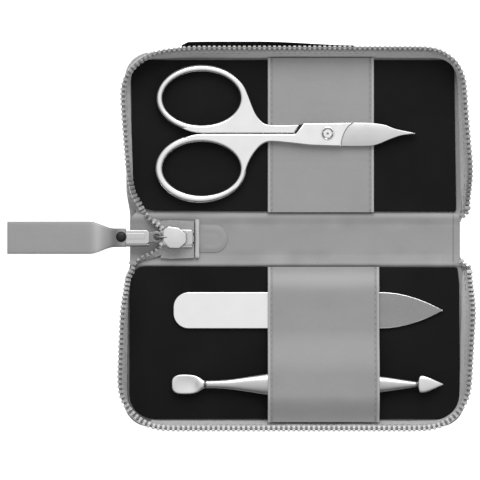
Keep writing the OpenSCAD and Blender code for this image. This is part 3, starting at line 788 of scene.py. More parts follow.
def turned_edge(half):
    """The outer leather turned up round the foot of the wall."""
    wall = WALLS[half.name]
    sections = []
    for i, foot in enumerate(wall.foot):
        out = wall.outward(i, wall.foot)
        lip = half.lip(foot[0], foot[1])
        ends = min(1.0, 0.25 + 0.75 * ease(min(i, len(wall.foot) - 1 - i) / 6))
        high = 0.5 + (3.4 - 0.5) * ends
        lean = (Vector(wall.top[i]) - Vector(foot)) / (wall.top[i][2] - foot[2])
        ring = []
        for offset, z in [(0.2, 0.7), (0.35 + lip, 0.75), (0.42 + lip, 1.1), (0.4 + lip, high * 0.6),
                          (0.34 + 0.8 * lip, high * 0.85), (0.3 + 0.5 * lip, high), (0.2, high + 0.05)]:
            ring.append(tuple(Vector(foot) + lean * (z - COVER_T) + out * offset))
        sections.append(ring)
    bm = on_half(sweep(sections), half.side)
    piece(half.name + "_turned_edge", bm, outer_leather, half.body, crease=50)


def stitch(length, width, height):
    """One stitch of thread, low at both ends."""
    bm = bmesh.new()
    bmesh.ops.create_cube(bm, size=1)
    bmesh.ops.scale(bm, vec=(length, width, height), verts=bm.verts)
    bmesh.ops.subdivide_edges(bm, edges=[e for e in bm.edges if abs((e.verts[0].co - e.verts[1].co).x) > 0.1],
                              cuts=2, use_grid_fill=True)
    for vert in bm.verts:
        end = abs(vert.co.x) / (length / 2)
        vert.co.z *= 1 - 0.6 * end * end
        vert.co.y *= 1 - 0.35 * end * end
    return bm


def wall_stitches(half):
    """A row of stitches on both faces of the wall, where the tape is sewn to the leather."""
    wall = WALLS[half.name]
    places = []
    s = 2.0
    while s < wall.run[-1] - 2.0:
        i = max(k for k in range(len(wall.run)) if wall.run[k] <= s)
        foot, top = Vector(wall.foot[i]), Vector(wall.top[i])
        out = wall.outward(i)
        ahead = Vector((-out.y, out.x, 0))
        slope = (top - foot).normalized()
        for face, share, stand in ((1, 0.42, 0.62), (-1, 0.52, 0.58)):
            middle = foot.lerp(top, share) + out * face * stand
            places.append(Matrix.Translation(middle) @ Matrix((ahead, slope, ahead.cross(slope))).transposed().to_4x4())
        s += 2.3
    bm = on_half(copies(stitch(1.7, 0.34, 0.3), places), half.side)
    piece(half.name + "_wall_stitches", bm, light_thread, half.body)


def tooth():
    """One zip tooth: a root that grips the tape's cord and a narrower head, pointing along y."""
    bm = bmesh.new()
    bmesh.ops.create_cube(bm, size=1)
    bmesh.ops.scale(bm, vec=(0.98, 1.1, 1.36), verts=bm.verts)
    bmesh.ops.translate(bm, vec=(0, -0.45, 0), verts=bm.verts)
    front = [f for f in bm.faces if f.normal.y > 0.9]
    bmesh.ops.inset_region(bm, faces=front, thickness=0.1, depth=0.0)
    front = [f for f in bm.faces if f.normal.y > 0.9 and all(abs(v.co.z) < 0.62 for v in f.verts)]
    head = bmesh.ops.extrude_discrete_faces(bm, faces=front)["faces"]
    for vert in head[0].verts:
        vert.co.y += 0.72
        vert.co.x *= 1.12
        vert.co.z *= 0.72
    bmesh.ops.bevel(bm, geom=bm.edges[:], offset=0.05, offset_type="OFFSET", affect="EDGES",
                    segments=1, profile=0.5, material=-1)
    return bm


def tooth_place(point, out, ahead, tilt):
    """Where a tooth sits: its head outwards and up by a tilt, set on the cord."""
    up = Vector((0, 0, 1))
    y = (out * math.cos(tilt) + up * math.sin(tilt)).normalized()
    x = (ahead - y * ahead.dot(y)).normalized()
    return Matrix.Translation(point) @ Matrix((x, y, x.cross(y))).transposed().to_4x4()


def row_spacing(wall):
    """How many teeth stand on a wall, and how far the first and last stand from its ends."""
    count = int((wall.run[-1] - 0.2) / TOOTH_PITCH)
    return count, (wall.run[-1] - (count - 1) * TOOTH_PITCH) / 2


def tooth_row(half):
    wall = WALLS[half.name]
    count, margin = row_spacing(wall)
    chance = random.Random(5 + half.side)
    places = []
    for i in range(1, count):
        point, out, ahead = wall.along(margin + i * TOOTH_PITCH)
        tilt = math.radians(30 + chance.uniform(-4, 4))
        places.append(tooth_place(point + Vector((0, 0, 0.62)) + out * 0.05, out, ahead, tilt))
    bm = on_half(copies(tooth(), places), half.side)
    piece(half.name + "_zip_teeth", bm, tooth_nickel, half.body, [half.name + "_teeth"], crease=30)
    point, out, ahead = wall.along(margin)
    stop = block((1.35, 2.1, 1.5), (0, 0, 0), 0.25)
    bm = copies(stop, [tooth_place(point + Vector((0, 0, 0.75)), out, ahead, 0.0)])
    piece(half.name + "_stop", on_half(bm, half.side), tooth_nickel, half.body, [half.name + "_end_stop"])


def strip(path, thick, ways, side, teeth_between, name):
    """A short length of zip tape over a fold, from the spine to the end of a wall, with its teeth.
    The path is the toothed edge; ways give the other edge from it, at the same stations."""
    sections = []
    for (x, y, z), (wx, wy, wz) in zip(path, ways):
        edge, way = Vector((x, y, z)), Vector((wx, wy, wz))
        sections.append([tuple(edge + way * share + Vector((0, 0, up))) for share, up in (
            (-0.06, 0), (0, 0.3), (0.16, 0.3), (0.22, thick / 2), (0.6, thick / 2), (1, thick / 2),
            (1, -thick / 2), (0.6, -thick / 2), (0.22, -thick / 2), (0.16, -0.3), (0, -0.3))])
    bm = sweep(sections)
    marked(bm, lambda co: (math.hypot(co.x, co.y), co.z + co.y * 0.7, 0))
    tape = piece(name + "_tape", bm, zip_tape, crease=60)
    bend_at_fold(tape, side)
    length = [0.0]
    for a, b in zip(path, path[1:]):
        length.append(length[-1] + (Vector(b) - Vector(a)).length)
    first, last = teeth_between
    places = []
    s = length[-1] - last
    while s > first:
        i = max(k for k in range(len(length) - 1) if length[k] <= s)
        t = (s - length[i]) / (length[i + 1] - length[i])
        point = Vector(path[i]).lerp(Vector(path[i + 1]), t)
        ahead = (Vector(path[i + 1]) - Vector(path[i])).normalized()
        out = -Vector(ways[i]).lerp(Vector(ways[i + 1]), t)
        out.z = max(out.z, 0.35 * out.length)
        y = (out - ahead * out.dot(ahead)).normalized()
        places.append(Matrix.Translation(point) @ Matrix((ahead, y, ahead.cross(y))).transposed().to_4x4())
        s -= TOOTH_PITCH
    made = piece(name + "_teeth", copies(tooth(), places), tooth_nickel, crease=30)
    bend_at_fold(made, side)


def left_crossing(half):
    """The open zip from the slider's side of the spine out to the left end of the wall."""
    side = half.side
    wall = WALLS[half.name]
    end, foot = wall.top[-1], wall.foot[-1]
    y_end = side * (FOLD_Y + end[1])
    if half is upper:
        knots = [(-44.3, 2.5, 4.2), (-46.2, 4.6, 4.25), (-49.0, 6.8, 4.35), (end[0] + 1.0, y_end - 1.0, end[2] + 0.5)]
    else:
        knots = [(-44.3, -1.7, 4.2), (-46.3, -3.4, 4.25), (-49.6, -5.2, 4.35), (-52.9, -7.1, 4.1),
                 (end[0] + 0.4, y_end + 0.9, end[2] + 0.5)]
    knots.append((end[0], y_end + 0.3 * side, end[2] + 0.35))
    path = flowing(knots, 5, False)
    count = len(path)
    outer = (foot[0] - end[0], side * (foot[1] - end[1]), -1.9)
    ways = []
    for i in range(count):
        t = ease(i / (count - 1))
        start = Vector((1.5, 1.9 * side, -0.12))
        ways.append(tuple(start.lerp(Vector(outer), t) * 1.0))
    strip(path, 0.4, ways, side, (0.5, TOOTH_PITCH - row_spacing(wall)[1]), half.name + "_left_fold")


def right_crossing(half):
    """The far end of the tape, which turns down over the fold to the end of the spine."""
    side = half.side
    wall = WALLS[half.name]
    end, foot = wall.top[0], wall.foot[0]
    knots = [(SPINE_X + 0.4, side * 6.0, 2.7), (SPINE_X + 0.9, side * 7.3, 3.1),
             (SPINE_X + 1.8, side * 8.6, 3.5), (end[0], side * (FOLD_Y + end[1] - 0.3), end[2] + 0.25),
             (end[0], side * (FOLD_Y + end[1] + 0.6), end[2] + 0.3)]
    path = flowing(knots, 5, False)
    count = len(path)
    ways = []
    for i in range(count):
        t = ease(i / (count - 1))
        ways.append(tuple(Vector((-2.5, 0.3 * side, -0.6)).lerp(Vector((foot[0] - end[0] - 0.4, 0, -1.9)), t)))
    strip(path, 0.4, ways, side, (0.8, TOOTH_PITCH - row_spacing(wall)[1] + 0.6), half.name + "_right_fold")


def far_shade_strip():
    """A black strip that stands out a little behind the upper row of teeth, painted shade in the black cloth finish."""
    wall = WALLS["upper"]
    sections = []
    for i, top in enumerate(wall.top):
        if not -39 < top[0] < 21 or top[1] < 50:
            continue
        full = rise(top[0], -39.5, -37) * (1 - 0.8 * rise(top[0], -12, 21))
        reach = 0.6 + 1.6 * full
        z = top[2] + 0.1
        sections.append([(top[0], top[1] + 0.45, z - 2.6), (top[0], top[1] + reach + 0.1, z - 1.1),
                         (top[0], top[1] + reach + 0.2, z - 0.35), (top[0], top[1] + reach - 0.1, z - 0.2),
                         (top[0], top[1] + reach - 0.3, z - 0.9), (top[0], top[1] + 0.35, z - 2.0)])
    bm = on_half(sweep(sections), 1)
    piece("upper_guard_strip", bm, black_cloth, "upper_half")


# Bands

BAND_X, UPPER_BAND_W, LOWER_BAND_W, BAND_T = -9.1, 36.1, 37.9, 0.8
PANEL_END, BAND_END = 52.8, 53.0
FILE_D, FILE_HALF, FILE_UNDER = 15.1, 6.5, 1.4
TOOL_D, TOOL_HALF, TOOL_UNDER = 40.2, 3.6, 4.9


def under_lower_band(d):
    if d < FILE_D:
        return FILE_UNDER * rise(d, 0.3, FILE_D - FILE_HALF)
    if d < TOOL_D:
        return FILE_UNDER + (TOOL_UNDER - FILE_UNDER) * rise(d, FILE_D + FILE_HALF, TOOL_D - TOOL_HALF)
    return 1.9 + (TOOL_UNDER - 1.9) * rise(d, BAND_END, TOOL_D + TOOL_HALF)


def band(half, width, under, waves, near, far):
    """A leather band with turned edges: a bead along each side, then a pressed line with stitches."""
    left, right = BAND_X, BAND_X + width
    turn = 1.35
    across = [0.0, 0.16, 0.42, 0.8, turn - 0.22, turn, turn + 0.22, turn + 0.7]
    xs = [left + a for a in across] + [left + turn + 0.7 + (width - 2 * turn - 1.4) * i / 14 for i in range(1, 14)]
    xs += [right - a for a in reversed(across)]

    def top(x, d):
        a = min(x - left, right - x)
        bead = 0.22 * math.exp(-((a - 0.5) / 0.36) ** 2)
        line = -0.24 * math.exp(-((a - turn) / 0.17) ** 2)
        edge = -0.32 * (1 - ease(a / 0.4))
        return PANEL_TOP + under(d) + BAND_T + bead + line + edge + waves(x, d)

    def base(x, d):
        a = min(x - left, right - x)
        return PANEL_TOP + under(d) + 0.22 * (1 - ease(a / 0.4))
    rows = 72
    sections = []
    for i in range(rows + 1):
        d = near + (far - near) * i / rows
        sections.append([(x, d, top(x, d)) for x in xs] + [(x, d, base(x, d)) for x in reversed(xs)])
    bm = sweep(sections)
    wear = bm.verts.layers.float.new("wear")
    # Painted light on the bands: a painted highlight over the lower band's belly and along both rounded edges, and
    # painted shade in the pressed lines.
    for vert in bm.verts:
        a = min(vert.co.x - left, right - vert.co.x)
        painted_shine = 0.35 * math.exp(-((vert.co.y - 4.0) / 2.6) ** 2) if half is lower else 0.0
        vert[wear] = painted_shine + 0.9 * (1 - ease((a - 0.35) / 0.6)) - 0.3 * math.exp(-((a - turn) / 0.2) ** 2)
    on_half(bm, half.side)
    piece(half.name + "_leather_band", bm, band_leather, half.body, [half.name + "_band"], crease=70)
    places = []
    d = near + 1.6
    while d < far - 1.0:
        slope = (under(d + 0.3) - under(d - 0.3)) / 0.6
        for x in (left + turn, right - turn):
            ahead = Vector((0, 1, slope)).normalized()
            side = Vector((1, 0, 0))
            z = top(x, d) + 0.08
            places.append(Matrix.Translation((x, d, z)) @ Matrix((ahead, side, ahead.cross(side))).transposed().to_4x4())
        d += 2.1
    bm = on_half(copies(stitch(1.5, 0.3, 0.26), places), half.side)
    piece(half.name + "_band_stitches", bm, light_thread, half.body)


def bands():
    def upper_waves(x, d):
        lying = rise(d, 0.3, 3.0) * (1 - rise(d, 49.0, 52.0))
        return lying * (0.05 + gentle(x, d, 11.0, 0.09)) * (0.35 if 17 < d < 37 else 1.0)

    def lower_waves(x, d):
        middle = BAND_X + LOWER_BAND_W / 2
        belly = 1 - ((x - middle) / (LOWER_BAND_W / 2)) ** 2
        return 0.45 * belly * rise(d, 1.5, 8.0) * (1 - rise(d, 8.0, 15.0)) + gentle(x, d, 9.0, 0.12) * rise(d, 0.3, 3.0)
    band(upper, UPPER_BAND_W, lambda d: 0.0, upper_waves, 0.3, PANEL_END)
    band(lower, LOWER_BAND_W, under_lower_band, lower_waves, 0.3, BAND_END)


# The start of the zip on the spine

ZIP_Y = 0.3
FORK_X = -43.5
END_BAR_X = -34.2


def zip_start():
    """The two tapes and rows of teeth that run from the end bar, under the slider, and apart."""
    places = []
    for side in (-1, 1):
        s = 0.6 if side > 0 else 0.6 + TOOTH_PITCH / 2
        while FORK_X + s < END_BAR_X - 1.0:
            x = Vector((1, 0, 0))
            y = Vector((0, -side, 0))
            places.append(Matrix.Translation((FORK_X + s, ZIP_Y + side * 1.12, 4.2))
                          @ Matrix((x, y, x.cross(y))).transposed().to_4x4())
            s += TOOTH_PITCH
    piece("start_zip_teeth", copies(tooth(), places), tooth_nickel, "spine", ["start_teeth"], crease=30)
    shapes = []
    for side in (-1, 1):
        y = ZIP_Y + side * 2.3
        outline = [(END_BAR_X, y), (FORK_X + 0.5, y), (FORK_X - 1.0, ZIP_Y + side * 3.4),
                   (FORK_X - 2.2, side * 6.3), (FORK_X + 1.0, side * 6.6), (END_BAR_X, side * 6.3)]
        if side < 0:
            outline.reverse()
        shapes.append(slab([outline], 4.0, 0.4, 0.1, 1))
        cord = [(END_BAR_X, y - side * 0.15, 4.2), (FORK_X + 0.4, y - side * 0.15, 4.2)]
        shapes.append(wire(cord, 0.42))
    bm = join(*shapes)
    marked(bm, lambda co: (co.x, co.y, 0))
    piece("start_zip_tape", bm, zip_tape, "spine", ["start_tape"], crease=60)


def end_pieces():
    """The cross bar that the tape ends in, and the low D-shaped patch behind it."""
    bar = block((1.45, 13.2, 2.3), (END_BAR_X + 1.1, ZIP_Y, INSIDE_Z + 1.15), 0.5, 3)
    cut_across(bar, [-5 + i * 0.9 for i in range(12)])
    shift(bar, lambda x, y, z: (x + gentle(y, z, 2.5, 0.08), y, z))
    marked(bar, lambda co: (co.y, co.x * 2, 0))
    piece("end_bar_tape", bar, bar_tape, "spine", ["end_bar"])
    x0 = END_BAR_X + 1.85
    r = 4.75
    middle = x0 + 9.6 - r
    outline = [(x0, ZIP_Y - r)] + arc(middle, ZIP_Y, r, -90, 90, 28) + [(x0, ZIP_Y + r)]
    patch = slab([outline], INSIDE_Z - 0.1, 0.42, 0.2, 4)
    cut_across(patch, [ZIP_Y - 4.4 + 0.4 * i for i in range(23)])
    cut_across(patch, [x0 + 0.4 * i for i in range(1, 24)], (1, 0, 0))

    def swollen(x, y, z):
        out = math.hypot(max(0.0, x - middle), y - ZIP_Y) / r
        ridge = 0.2 * math.exp(-((out - 0.7) / 0.2) ** 2) * rise(x, x0, x0 + 2.5)
        return x, y, z + (0.0 if z < INSIDE_Z + 0.2 else ridge + 0.3 * (1 - min(1.0, out) ** 2))
    shift(patch, swollen)
    piece("end_leather_patch", patch, lining_leather, "spine", ["end_patch"])


# Slider, pull and strap

SLIDER_NOSE, SLIDER_TAIL, SLIDER_HALF = -46.3, -34.6, 4.0
PULL_Y = 0.8
STRAP_Y = 0.6
PLATE_Z, PLATE_TOP = 2.5, 5.9
PULL_Z = 6.55
BRIDGE_X, BRIDGE_R, BRIDGE_WIRE = -46.9, 1.9, 0.55
CROWN_X, CROWN_L, CROWN_HALF = -44.75, 8.1, 4.1
BAR_END, PULL_W, RIVET_X = -60.5, 4.9, -58.9


def slider_outline(nose, half, middle):
    knots = [(nose, -0.35 * half), (nose + 0.5, -0.65 * half), (nose + 1.7, -0.93 * half), (-43.0, -half), (-40.6, -half),
             (-38.6, -0.88 * half), (SLIDER_TAIL - 0.6, -0.85 * half), (SLIDER_TAIL, -0.7 * half)]
    lower_side = flowing(knots, 5, False)
    return [(x, middle + y) for x, y in lower_side + [(x, -y) for x, y in reversed(lower_side)]]


def slider():
    bottom = slab([slider_outline(SLIDER_NOSE, SLIDER_HALF, ZIP_Y)], PLATE_Z, 0.7, 0.2)
    top = slab([slider_outline(SLIDER_NOSE + 1.2, 3.3, (ZIP_Y + PULL_Y) / 2)], PLATE_TOP - 0.7, 0.7, 0.26)
    wedge = slab([[(-46.4, ZIP_Y), (-45.2, ZIP_Y - 0.8), (-44.0, ZIP_Y), (-45.2, ZIP_Y + 0.8)]], PLATE_Z + 0.4, 2.6, 0.1)
    shapes = [bottom, top, wedge]
    for side in (-1, 1):
        for z in (3.35, 5.05):
            shapes.append(block((5.6, 0.75, 0.75), (-37.6, ZIP_Y + side * 2.55, z), 0.12))
    piece("slider_plates", join(*shapes), slider_nickel, "slider", ["slider_body"])


def crown():
    """The domed eight-sided cap over the slider and the hook that holds the pull."""
    far = CROWN_X + CROWN_L
    h = CROWN_HALF
    outline = [(CROWN_X, -0.7), (CROWN_X + 2.2, -3.1), (far - 2.4, -3.2), (far, -1.0), (far, 2.0), (far - 2.6, 4.05),
               (CROWN_X + 1.7, 4.6), (CROWN_X, 2.9)]
    bm = slab([outline], 7.9, 1.1, 0.42, 4)
    cut_across(bm, [PULL_Y - 3 + i for i in range(7)])
    cut_across(bm, [CROWN_X + 0.9 * i for i in range(1, 9)], (1, 0, 0))

    def dome(x, y, z):
        u = (x - (CROWN_X + far) / 2) / (CROWN_L / 2)
        v = (y - PULL_Y) / h
        return x, y, z + (0.0 if z < 8.45 else 0.3 * max(0.0, 1 - u * u) * max(0.0, 1 - v * v) - 0.2)
    shift(bm, dome)
    leg = block((1.6, 3.0, 2.4), (far - 1.0, PULL_Y, 7.0), 0.3)
    foot = slab([[(far - 1.8, PULL_Y - 2.9), (far + 1.6, PULL_Y - 2.6), (far + 2.1, PULL_Y - 2.1),
                  (far + 2.1, PULL_Y + 1.7), (far + 1.6, PULL_Y + 2.2), (far - 1.8, PULL_Y + 2.4)]],
                PLATE_TOP - 0.1, 0.5, 0.2)
    hook = [(BRIDGE_X, PULL_Y, PLATE_TOP - 0.1), (BRIDGE_X, PULL_Y, PULL_Z)]
    middle = BRIDGE_X + BRIDGE_R
    for i in range(1, 9):
        a = math.radians(180 - 90 * i / 8)
        hook.append((middle + BRIDGE_R * math.cos(a), PULL_Y, PULL_Z + BRIDGE_R * math.sin(a)))
    hook.append((CROWN_X + 1.8, PULL_Y, PULL_Z + BRIDGE_R))
    root = slab([arc(BRIDGE_X + 0.4, PULL_Y, 1.25, 0, 360, 20)[:-1]], PLATE_TOP - 0.7, 0.75, 0.12)
    piece("slider_cap", join(bm, leg), slider_nickel, "slider", ["slider_crown"])
    # The tail is part of the cap but takes the darker pull nickel, painted shade that holds down its highlight.
    piece("slider_tail", foot, pull_nickel, "slider")
    piece("slider_hook", join(wire(hook, BRIDGE_WIRE, 4), root), dull_nickel_and_painted_shade, "slider")


def pull():
    """The flat bar, its edges rounded, with a duller ring of wire for its eye and a rolled lower edge in dark metal,
    painted shade along the bar's lower side.
    """
    half = PULL_W / 2
    bar = [(BAR_END, -half + 0.5), (BAR_END + 0.5, -half), (-50.4, -half), (-49.7, -half + 0.3), (-49.3, -half + 0.8)]
    outline = [(x, PULL_Y + y) for x, y in bar + [(x, -y) for x, y in reversed(bar)]]
    bm = slab([outline], PULL_Z - 0.5, 1.0, 0.3)
    rib = block((6.6, 2.0, 0.3), (-54.2, PULL_Y + 0.3, PULL_Z + 0.45), 0.14)
    piece("pull_bar_metal", join(bm, rib), pull_nickel, "pull", ["pull_bar"])
    ring = arc(BRIDGE_X - 0.1, PULL_Y, 2.15, 0, 360, 32)[:-1]
    hole = list(reversed(arc(BRIDGE_X, PULL_Y, 0.95, 0, 360, 24)[:-1]))
    eye = slab([ring, hole], PULL_Z - 0.36, 0.72, 0.3)
    neck = block((2.4, 3.6, 0.7), (-49.3, PULL_Y, PULL_Z), 0.25)
    # A dark wire along the lower side, painted shade under the bar.
    low_y = PULL_Y - half - 0.3
    edge = wire([(-60.2, low_y, PULL_Z - 0.1), (-57, low_y, PULL_Z - 0.1), (-49.4, low_y + 0.1, PULL_Z - 0.1)], 0.48, 3)
    piece("pull_eye_metal", join(eye, neck, edge), dull_nickel_and_painted_shade, "pull")


def rivet():
    bm = bmesh.new()
    profile = [(0.0, 2.28), (0.7, 2.26), (1.25, 2.1), (1.6, 1.85), (1.78, 1.5), (1.1, 1.45), (0.7, 1.4), (0.7, -1.4),
               (1.1, -1.45), (1.78, -1.5), (1.6, -1.85), (1.25, -2.1), (0.7, -2.26), (0.0, -2.28)]
    verts = [bm.verts.new((x, 0, z)) for x, z in profile]
    edges = [bm.edges.new(pair) for pair in zip(verts, verts[1:])]
    bmesh.ops.spin(bm, geom=verts + edges, cent=(0, 0, 0), axis=(0, 0, 1), angle=math.tau, steps=28, use_merge=True)
    bmesh.ops.remove_doubles(bm, verts=bm.verts, dist=0.001)
    bmesh.ops.translate(bm, vec=(RIVET_X, PULL_Y + 0.1, PULL_Z), verts=bm.verts)
    piece("rivet", bm, rivet_paint, "pull", ["strap_rivet"])


def strap():
    """One leather strap, doubled back through the pull: a thick neck, then two layers glued flat."""
    start, end = -57.3, -97.7
    neck, full = 3.2, 5.55
    stations = [start, start - 0.1, start - 0.3, -58.5, -59.5, -60.5, -61.3] + [-61.9 - 0.1 * i for i in range(8)]
    stations += [-63.2, -64.2, -65.2, -66.2, -67.2, -68.2, -69.4, -71, -73.5, -77, -81, -85, -89, -93, -96, -97.2, -97.55, end]
    sections = []
    for x in stations:
        out = start - x
        half = neck + (full - neck) * rise(-x, 61.0, 69.6)
        thick = 1.5 - 0.5 * rise(-x, 61.2, 66.5)
        round_end = 1 - 0.55 * (1 - ease(out / 0.3)) - 0.35 * (1 - ease((x - end) / 0.5))
        lift = 0.8 * math.exp(-((x + 65.5) / 2.4) ** 2) - 1.5 * rise(-x, 70, 98) ** 1.5
        curl = 0.35 * math.exp(-((x + 66.0) / 3.2) ** 2)
        z = PULL_Z + lift
        section = []
        for y, up in [(-1.0, 0.0), (-0.985, 0.6), (-0.93, 0.9), (-0.8, 1.0), (-0.5, 1.0), (-0.2, 1.0), (0.2, 1.0),
                      (0.5, 1.0), (0.8, 1.0), (0.93, 0.9), (0.985, 0.6), (1.0, 0.0), (0.985, -0.6), (0.93, -0.9),
                      (0.8, -1.0), (0.5, -1.0), (0.2, -1.0), (-0.2, -1.0), (-0.5, -1.0), (-0.8, -1.0),
                      (-0.93, -0.9), (-0.985, -0.6)]:
            sag = gentle(x, y * 6, 7.0, 0.12) - curl * y * y
            section.append((x, STRAP_Y + y * half, z + up * thick * round_end + sag))
        sections.append(section)
    bm = sweep(sections)
    wear = bm.verts.layers.float.new("wear")
    # Painted light on the strap: a painted highlight where it bends and painted shade at its neck by the pull.
    for vert in bm.verts:
        x = vert.co.x
        vert[wear] = 0.75 * math.exp(-((x + 67.0) / 1.7) ** 2) - 0.8 * math.exp(-((x + 60.9) / 2.0) ** 2)
    made = piece("leather_strap", bm, strap_leather, instead_of=["strap_fold", "pull_strap"], crease=60)
    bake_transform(made)


# Scissors, drawn round the screw with the bow on the far side of the parting line

PIVOT = (11.2, 36.0, 4.6)
BOW_MIDDLE = (-42.84, 11.95)
HOLE_A, HOLE_B = 13.15, 8.98
PART = 0.1
SCISSORS_T, LAYER_T = 2.4, 1.15
NOTCH = [(-10.75, -PART), (-8.1, -3.55)]
UPPER_WEB = [(-31.5, 19.35), (-29.7, 17.65), (-28.2, 15.6), (-26.8, 12.3), (-25.5, 8.9), (-24.3, 6.4), (-22.6, 4.3),
             (-20.6, 3.1), (-17.0, 2.88), (-13.0, 2.92)]
LOWER_WEB = [(-31.6, 19.35), (-30.0, 17.8), (-28.65, 15.0), (-27.4, 11.4), (-26.4, 9.0), (-25.0, 6.7), (-22.96, 4.3),
             (-20.6, 2.95), (-17.9, 2.86), (-14.5, 3.15), (-11.1, 3.5), (-8.3, 3.85), (-5.6, 4.1), (0.0, 4.32)]
NEAR_EDGE = [(8, 4.42), (12, 4.4), (15.2, 4.2), (17.8, 3.45), (20.6, 2.25), (24.6, 0.8), (27.4, 0.35), (29.8, 0.06)]
FAR_EDGE = [(8, -3.8), (12, -3.75), (15.4, -3.6), (19.5, -2.95), (22.9, -1.65), (26.3, -0.88), (28.6, -0.42), (29.8, -0.1)]
STEP = [(4.7, 4.42), (4.75, 3.2), (5.2, 1.4), (6.0, -0.6), (7.3, -2.4), (9.0, -3.8)]


def scissor_bow(heavier=0.0):
    """The finger ring: a flattened wire, a little wider above and below than at its ends."""
    sections = []
    steps = 96
    for i in range(steps):
        a = math.tau * i / steps
        wide = 1.1 + 0.12 * math.sin(a) ** 2 + heavier * ease(0.5 - 0.8 * math.cos(a))
        x, y = BOW_MIDDLE[0] + (HOLE_A + wide) * math.cos(a), BOW_MIDDLE[1] + (HOLE_B + wide) * math.sin(a)
        out = Vector((math.cos(a) / HOLE_A, math.sin(a) / HOLE_B, 0)).normalized()
        ring = []
        for k in range(20):
            t = math.tau * k / 20
            across, up = math.cos(t), math.sin(t)
            across = math.copysign(abs(across) ** 0.92, across)
            ring.append(tuple(Vector((x, y, 1.2)) + out * wide * across + Vector((0, 0, 1.2 * math.copysign(abs(up) ** 0.9, up)))))
        sections.append(ring)
    return sweep(sections, closed=True)


def hole_edge():
    """The web's edge inside the ring's wire."""
    turns = [math.radians(-104 + 10.4 * i) for i in range(15)]
    return [(BOW_MIDDLE[0] + (HOLE_A + 0.6) * math.cos(a), BOW_MIDDLE[1] + (HOLE_B + 0.6) * math.sin(a)) for a in turns]


def parting():
    return [(-11.4, PART), (-20, PART), (-31, PART), (-42.5, PART), (-44.4, PART + 0.1), (-46.2, PART + 0.4),
            (-48.0, PART + 0.98), (-49.4, PART + 1.6)]


def upper_web(low, thick):
    """The flat web and shank, as far as the notch."""
    notch_top = [(-9.6, 3.0)]
    return slab([flowing(UPPER_WEB, 6, False) + notch_top + parting() + hole_edge()], low, thick, 0.38, 4)


def web_and_ride(low, thick):
    """The web, the shank and the thicker ride round the screw, one flat face that ends in a curved step."""
    back = flowing(LOWER_WEB + [STEP[0]], 6, False)
    return slab([back + flowing(STEP, 5, False)[1:] + [NOTCH[1], NOTCH[0]] + parting() + hole_edge()], low, thick, 0.52, 5)


def blade(low, thick, edge, hollow, swap):
    """A blade with its tip, its face ground away a little to both edges."""
    near, far = (flowing(e, 5, False) for e in (NEAR_EDGE, FAR_EDGE))
    back = [(0.0, FAR_EDGE[0][1]), (-8.1, -3.55), (-10.75, -PART), (-11.6, -PART)]
    if swap:
        near, far = [(x, -y) for x, y in far], [(x, -y) for x, y in near]
        back = [(0.0, -4.15), (-5.6, -3.8), (-8.3, -3.5), (-10.75, -PART), (-11.6, -PART)]
    outline = [(-11.6, 2.6), (-8.0, 3.0), (0.0, near[0][1] - 0.15)] + near + list(reversed(far)) + back
    bm = slab([outline], low, thick, edge, 4)
    cut_across(bm, [-3.2 + 0.8 * i for i in range(9)])
    return shift(bm, lambda x, y, z: (x, y, z - (hollow * (y / 4) ** 2 if z > low + 0.5 * thick else 0.0)))


def set_scissors(bm, mirrored):
    x0, y0, z0 = PIVOT
    turn = -1 if mirrored else 1
    return shift(bm, lambda x, y, z: (x0 + x, y0 + turn * y, z0 + z))


def screw():
    """A flat screw head with a ring groove and a dimple, with painted shade in both."""
    bm = bmesh.new()
    profile = [(0.0, 2.5), (0.34, 2.5), (0.44, 2.62), (1.42, 2.62), (1.52, 2.5), (1.7, 2.42), (1.88, 2.5), (2.0, 2.6),
               (2.25, 2.56), (2.35, 2.42), (2.35, 2.3), (1.2, 2.3), (1.2, 0.0), (0.0, 0.0)]
    verts = [bm.verts.new((x, 0, z)) for x, z in profile]
    edges = [bm.edges.new(pair) for pair in zip(verts, verts[1:])]
    bmesh.ops.spin(bm, geom=verts + edges, cent=(0, 0, 0), axis=(0, 0, 1), angle=math.tau, steps=40, use_merge=True)
    bmesh.ops.remove_doubles(bm, verts=bm.verts, dist=0.001)
    piece("scissors_rivet_screw", set_scissors(bm, False), scissors_steel, "scissors",
          ["scissors_screw"])
    # The grooves and the dimple are dark metal, painted shade in these hollows.
    grooves = [wire([(x, y, 2.53) for x, y in arc(0, 0, 1.7, start, end, 16)], 0.2, 2)
               for start, end in ((20, 150), (-95, -10), (170, 240))]
    grooves.append(slab([arc(0, 0, 0.42, 0, 360, 16)[:-1]], 2.45, 0.14, 0.04, 1))
    piece("scissors_screw_grooves", set_scissors(join(*grooves), False), dull_nickel_and_painted_shade, "scissors")


def scissors():
    flat = SCISSORS_T - 0.06
    frame_half = join(scissor_bow(), upper_web(0.05, flat), blade(0.0, LAYER_T, 0.3, 0.0, True))
    piece("scissors_lower_blade_half", set_scissors(frame_half, False), scissors_steel, "scissors",
          ["scissors_frame"])
    arm_half = join(scissor_bow(0.2), web_and_ride(1.25, flat - 1.2))
    piece("scissors_upper_blade_half", set_scissors(arm_half, True), scissors_steel, "scissors_arm",
          ["scissors_arm"])
    under = slab([flowing(LOWER_WEB[:-4], 6, False) + [(-12.0, 3.3), (-12.0, PART)] + parting()[1:] + hole_edge()], 0.1, 1.3, 0.26)
    arm_blade = join(blade(1.25, 0.78, 0.26, 0.3, False), under)
    piece("scissors_upper_blade", set_scissors(arm_blade, True), ground_steel, "scissors_arm")
    # A black sliver under the notch gap, painted shade in the joint.
    joint_shade = slab([[(-11.3, PART + 0.1), (-9.6, 3.0), (-8.6, 3.2), (-8.0, 3.3), (-10.4, PART - 0.1)]], LAYER_T - 0.1, 0.2, 0.05, 1)
    piece("scissors_joint_seam", set_scissors(joint_shade, False), rivet_paint, "scissors")
    screw()


# File and cuticle tool, drawn with x from the left end

FILE_X, FILE_L, FILE_W, FILE_POINT = -41.2, 91.7, 12.4, 20.5


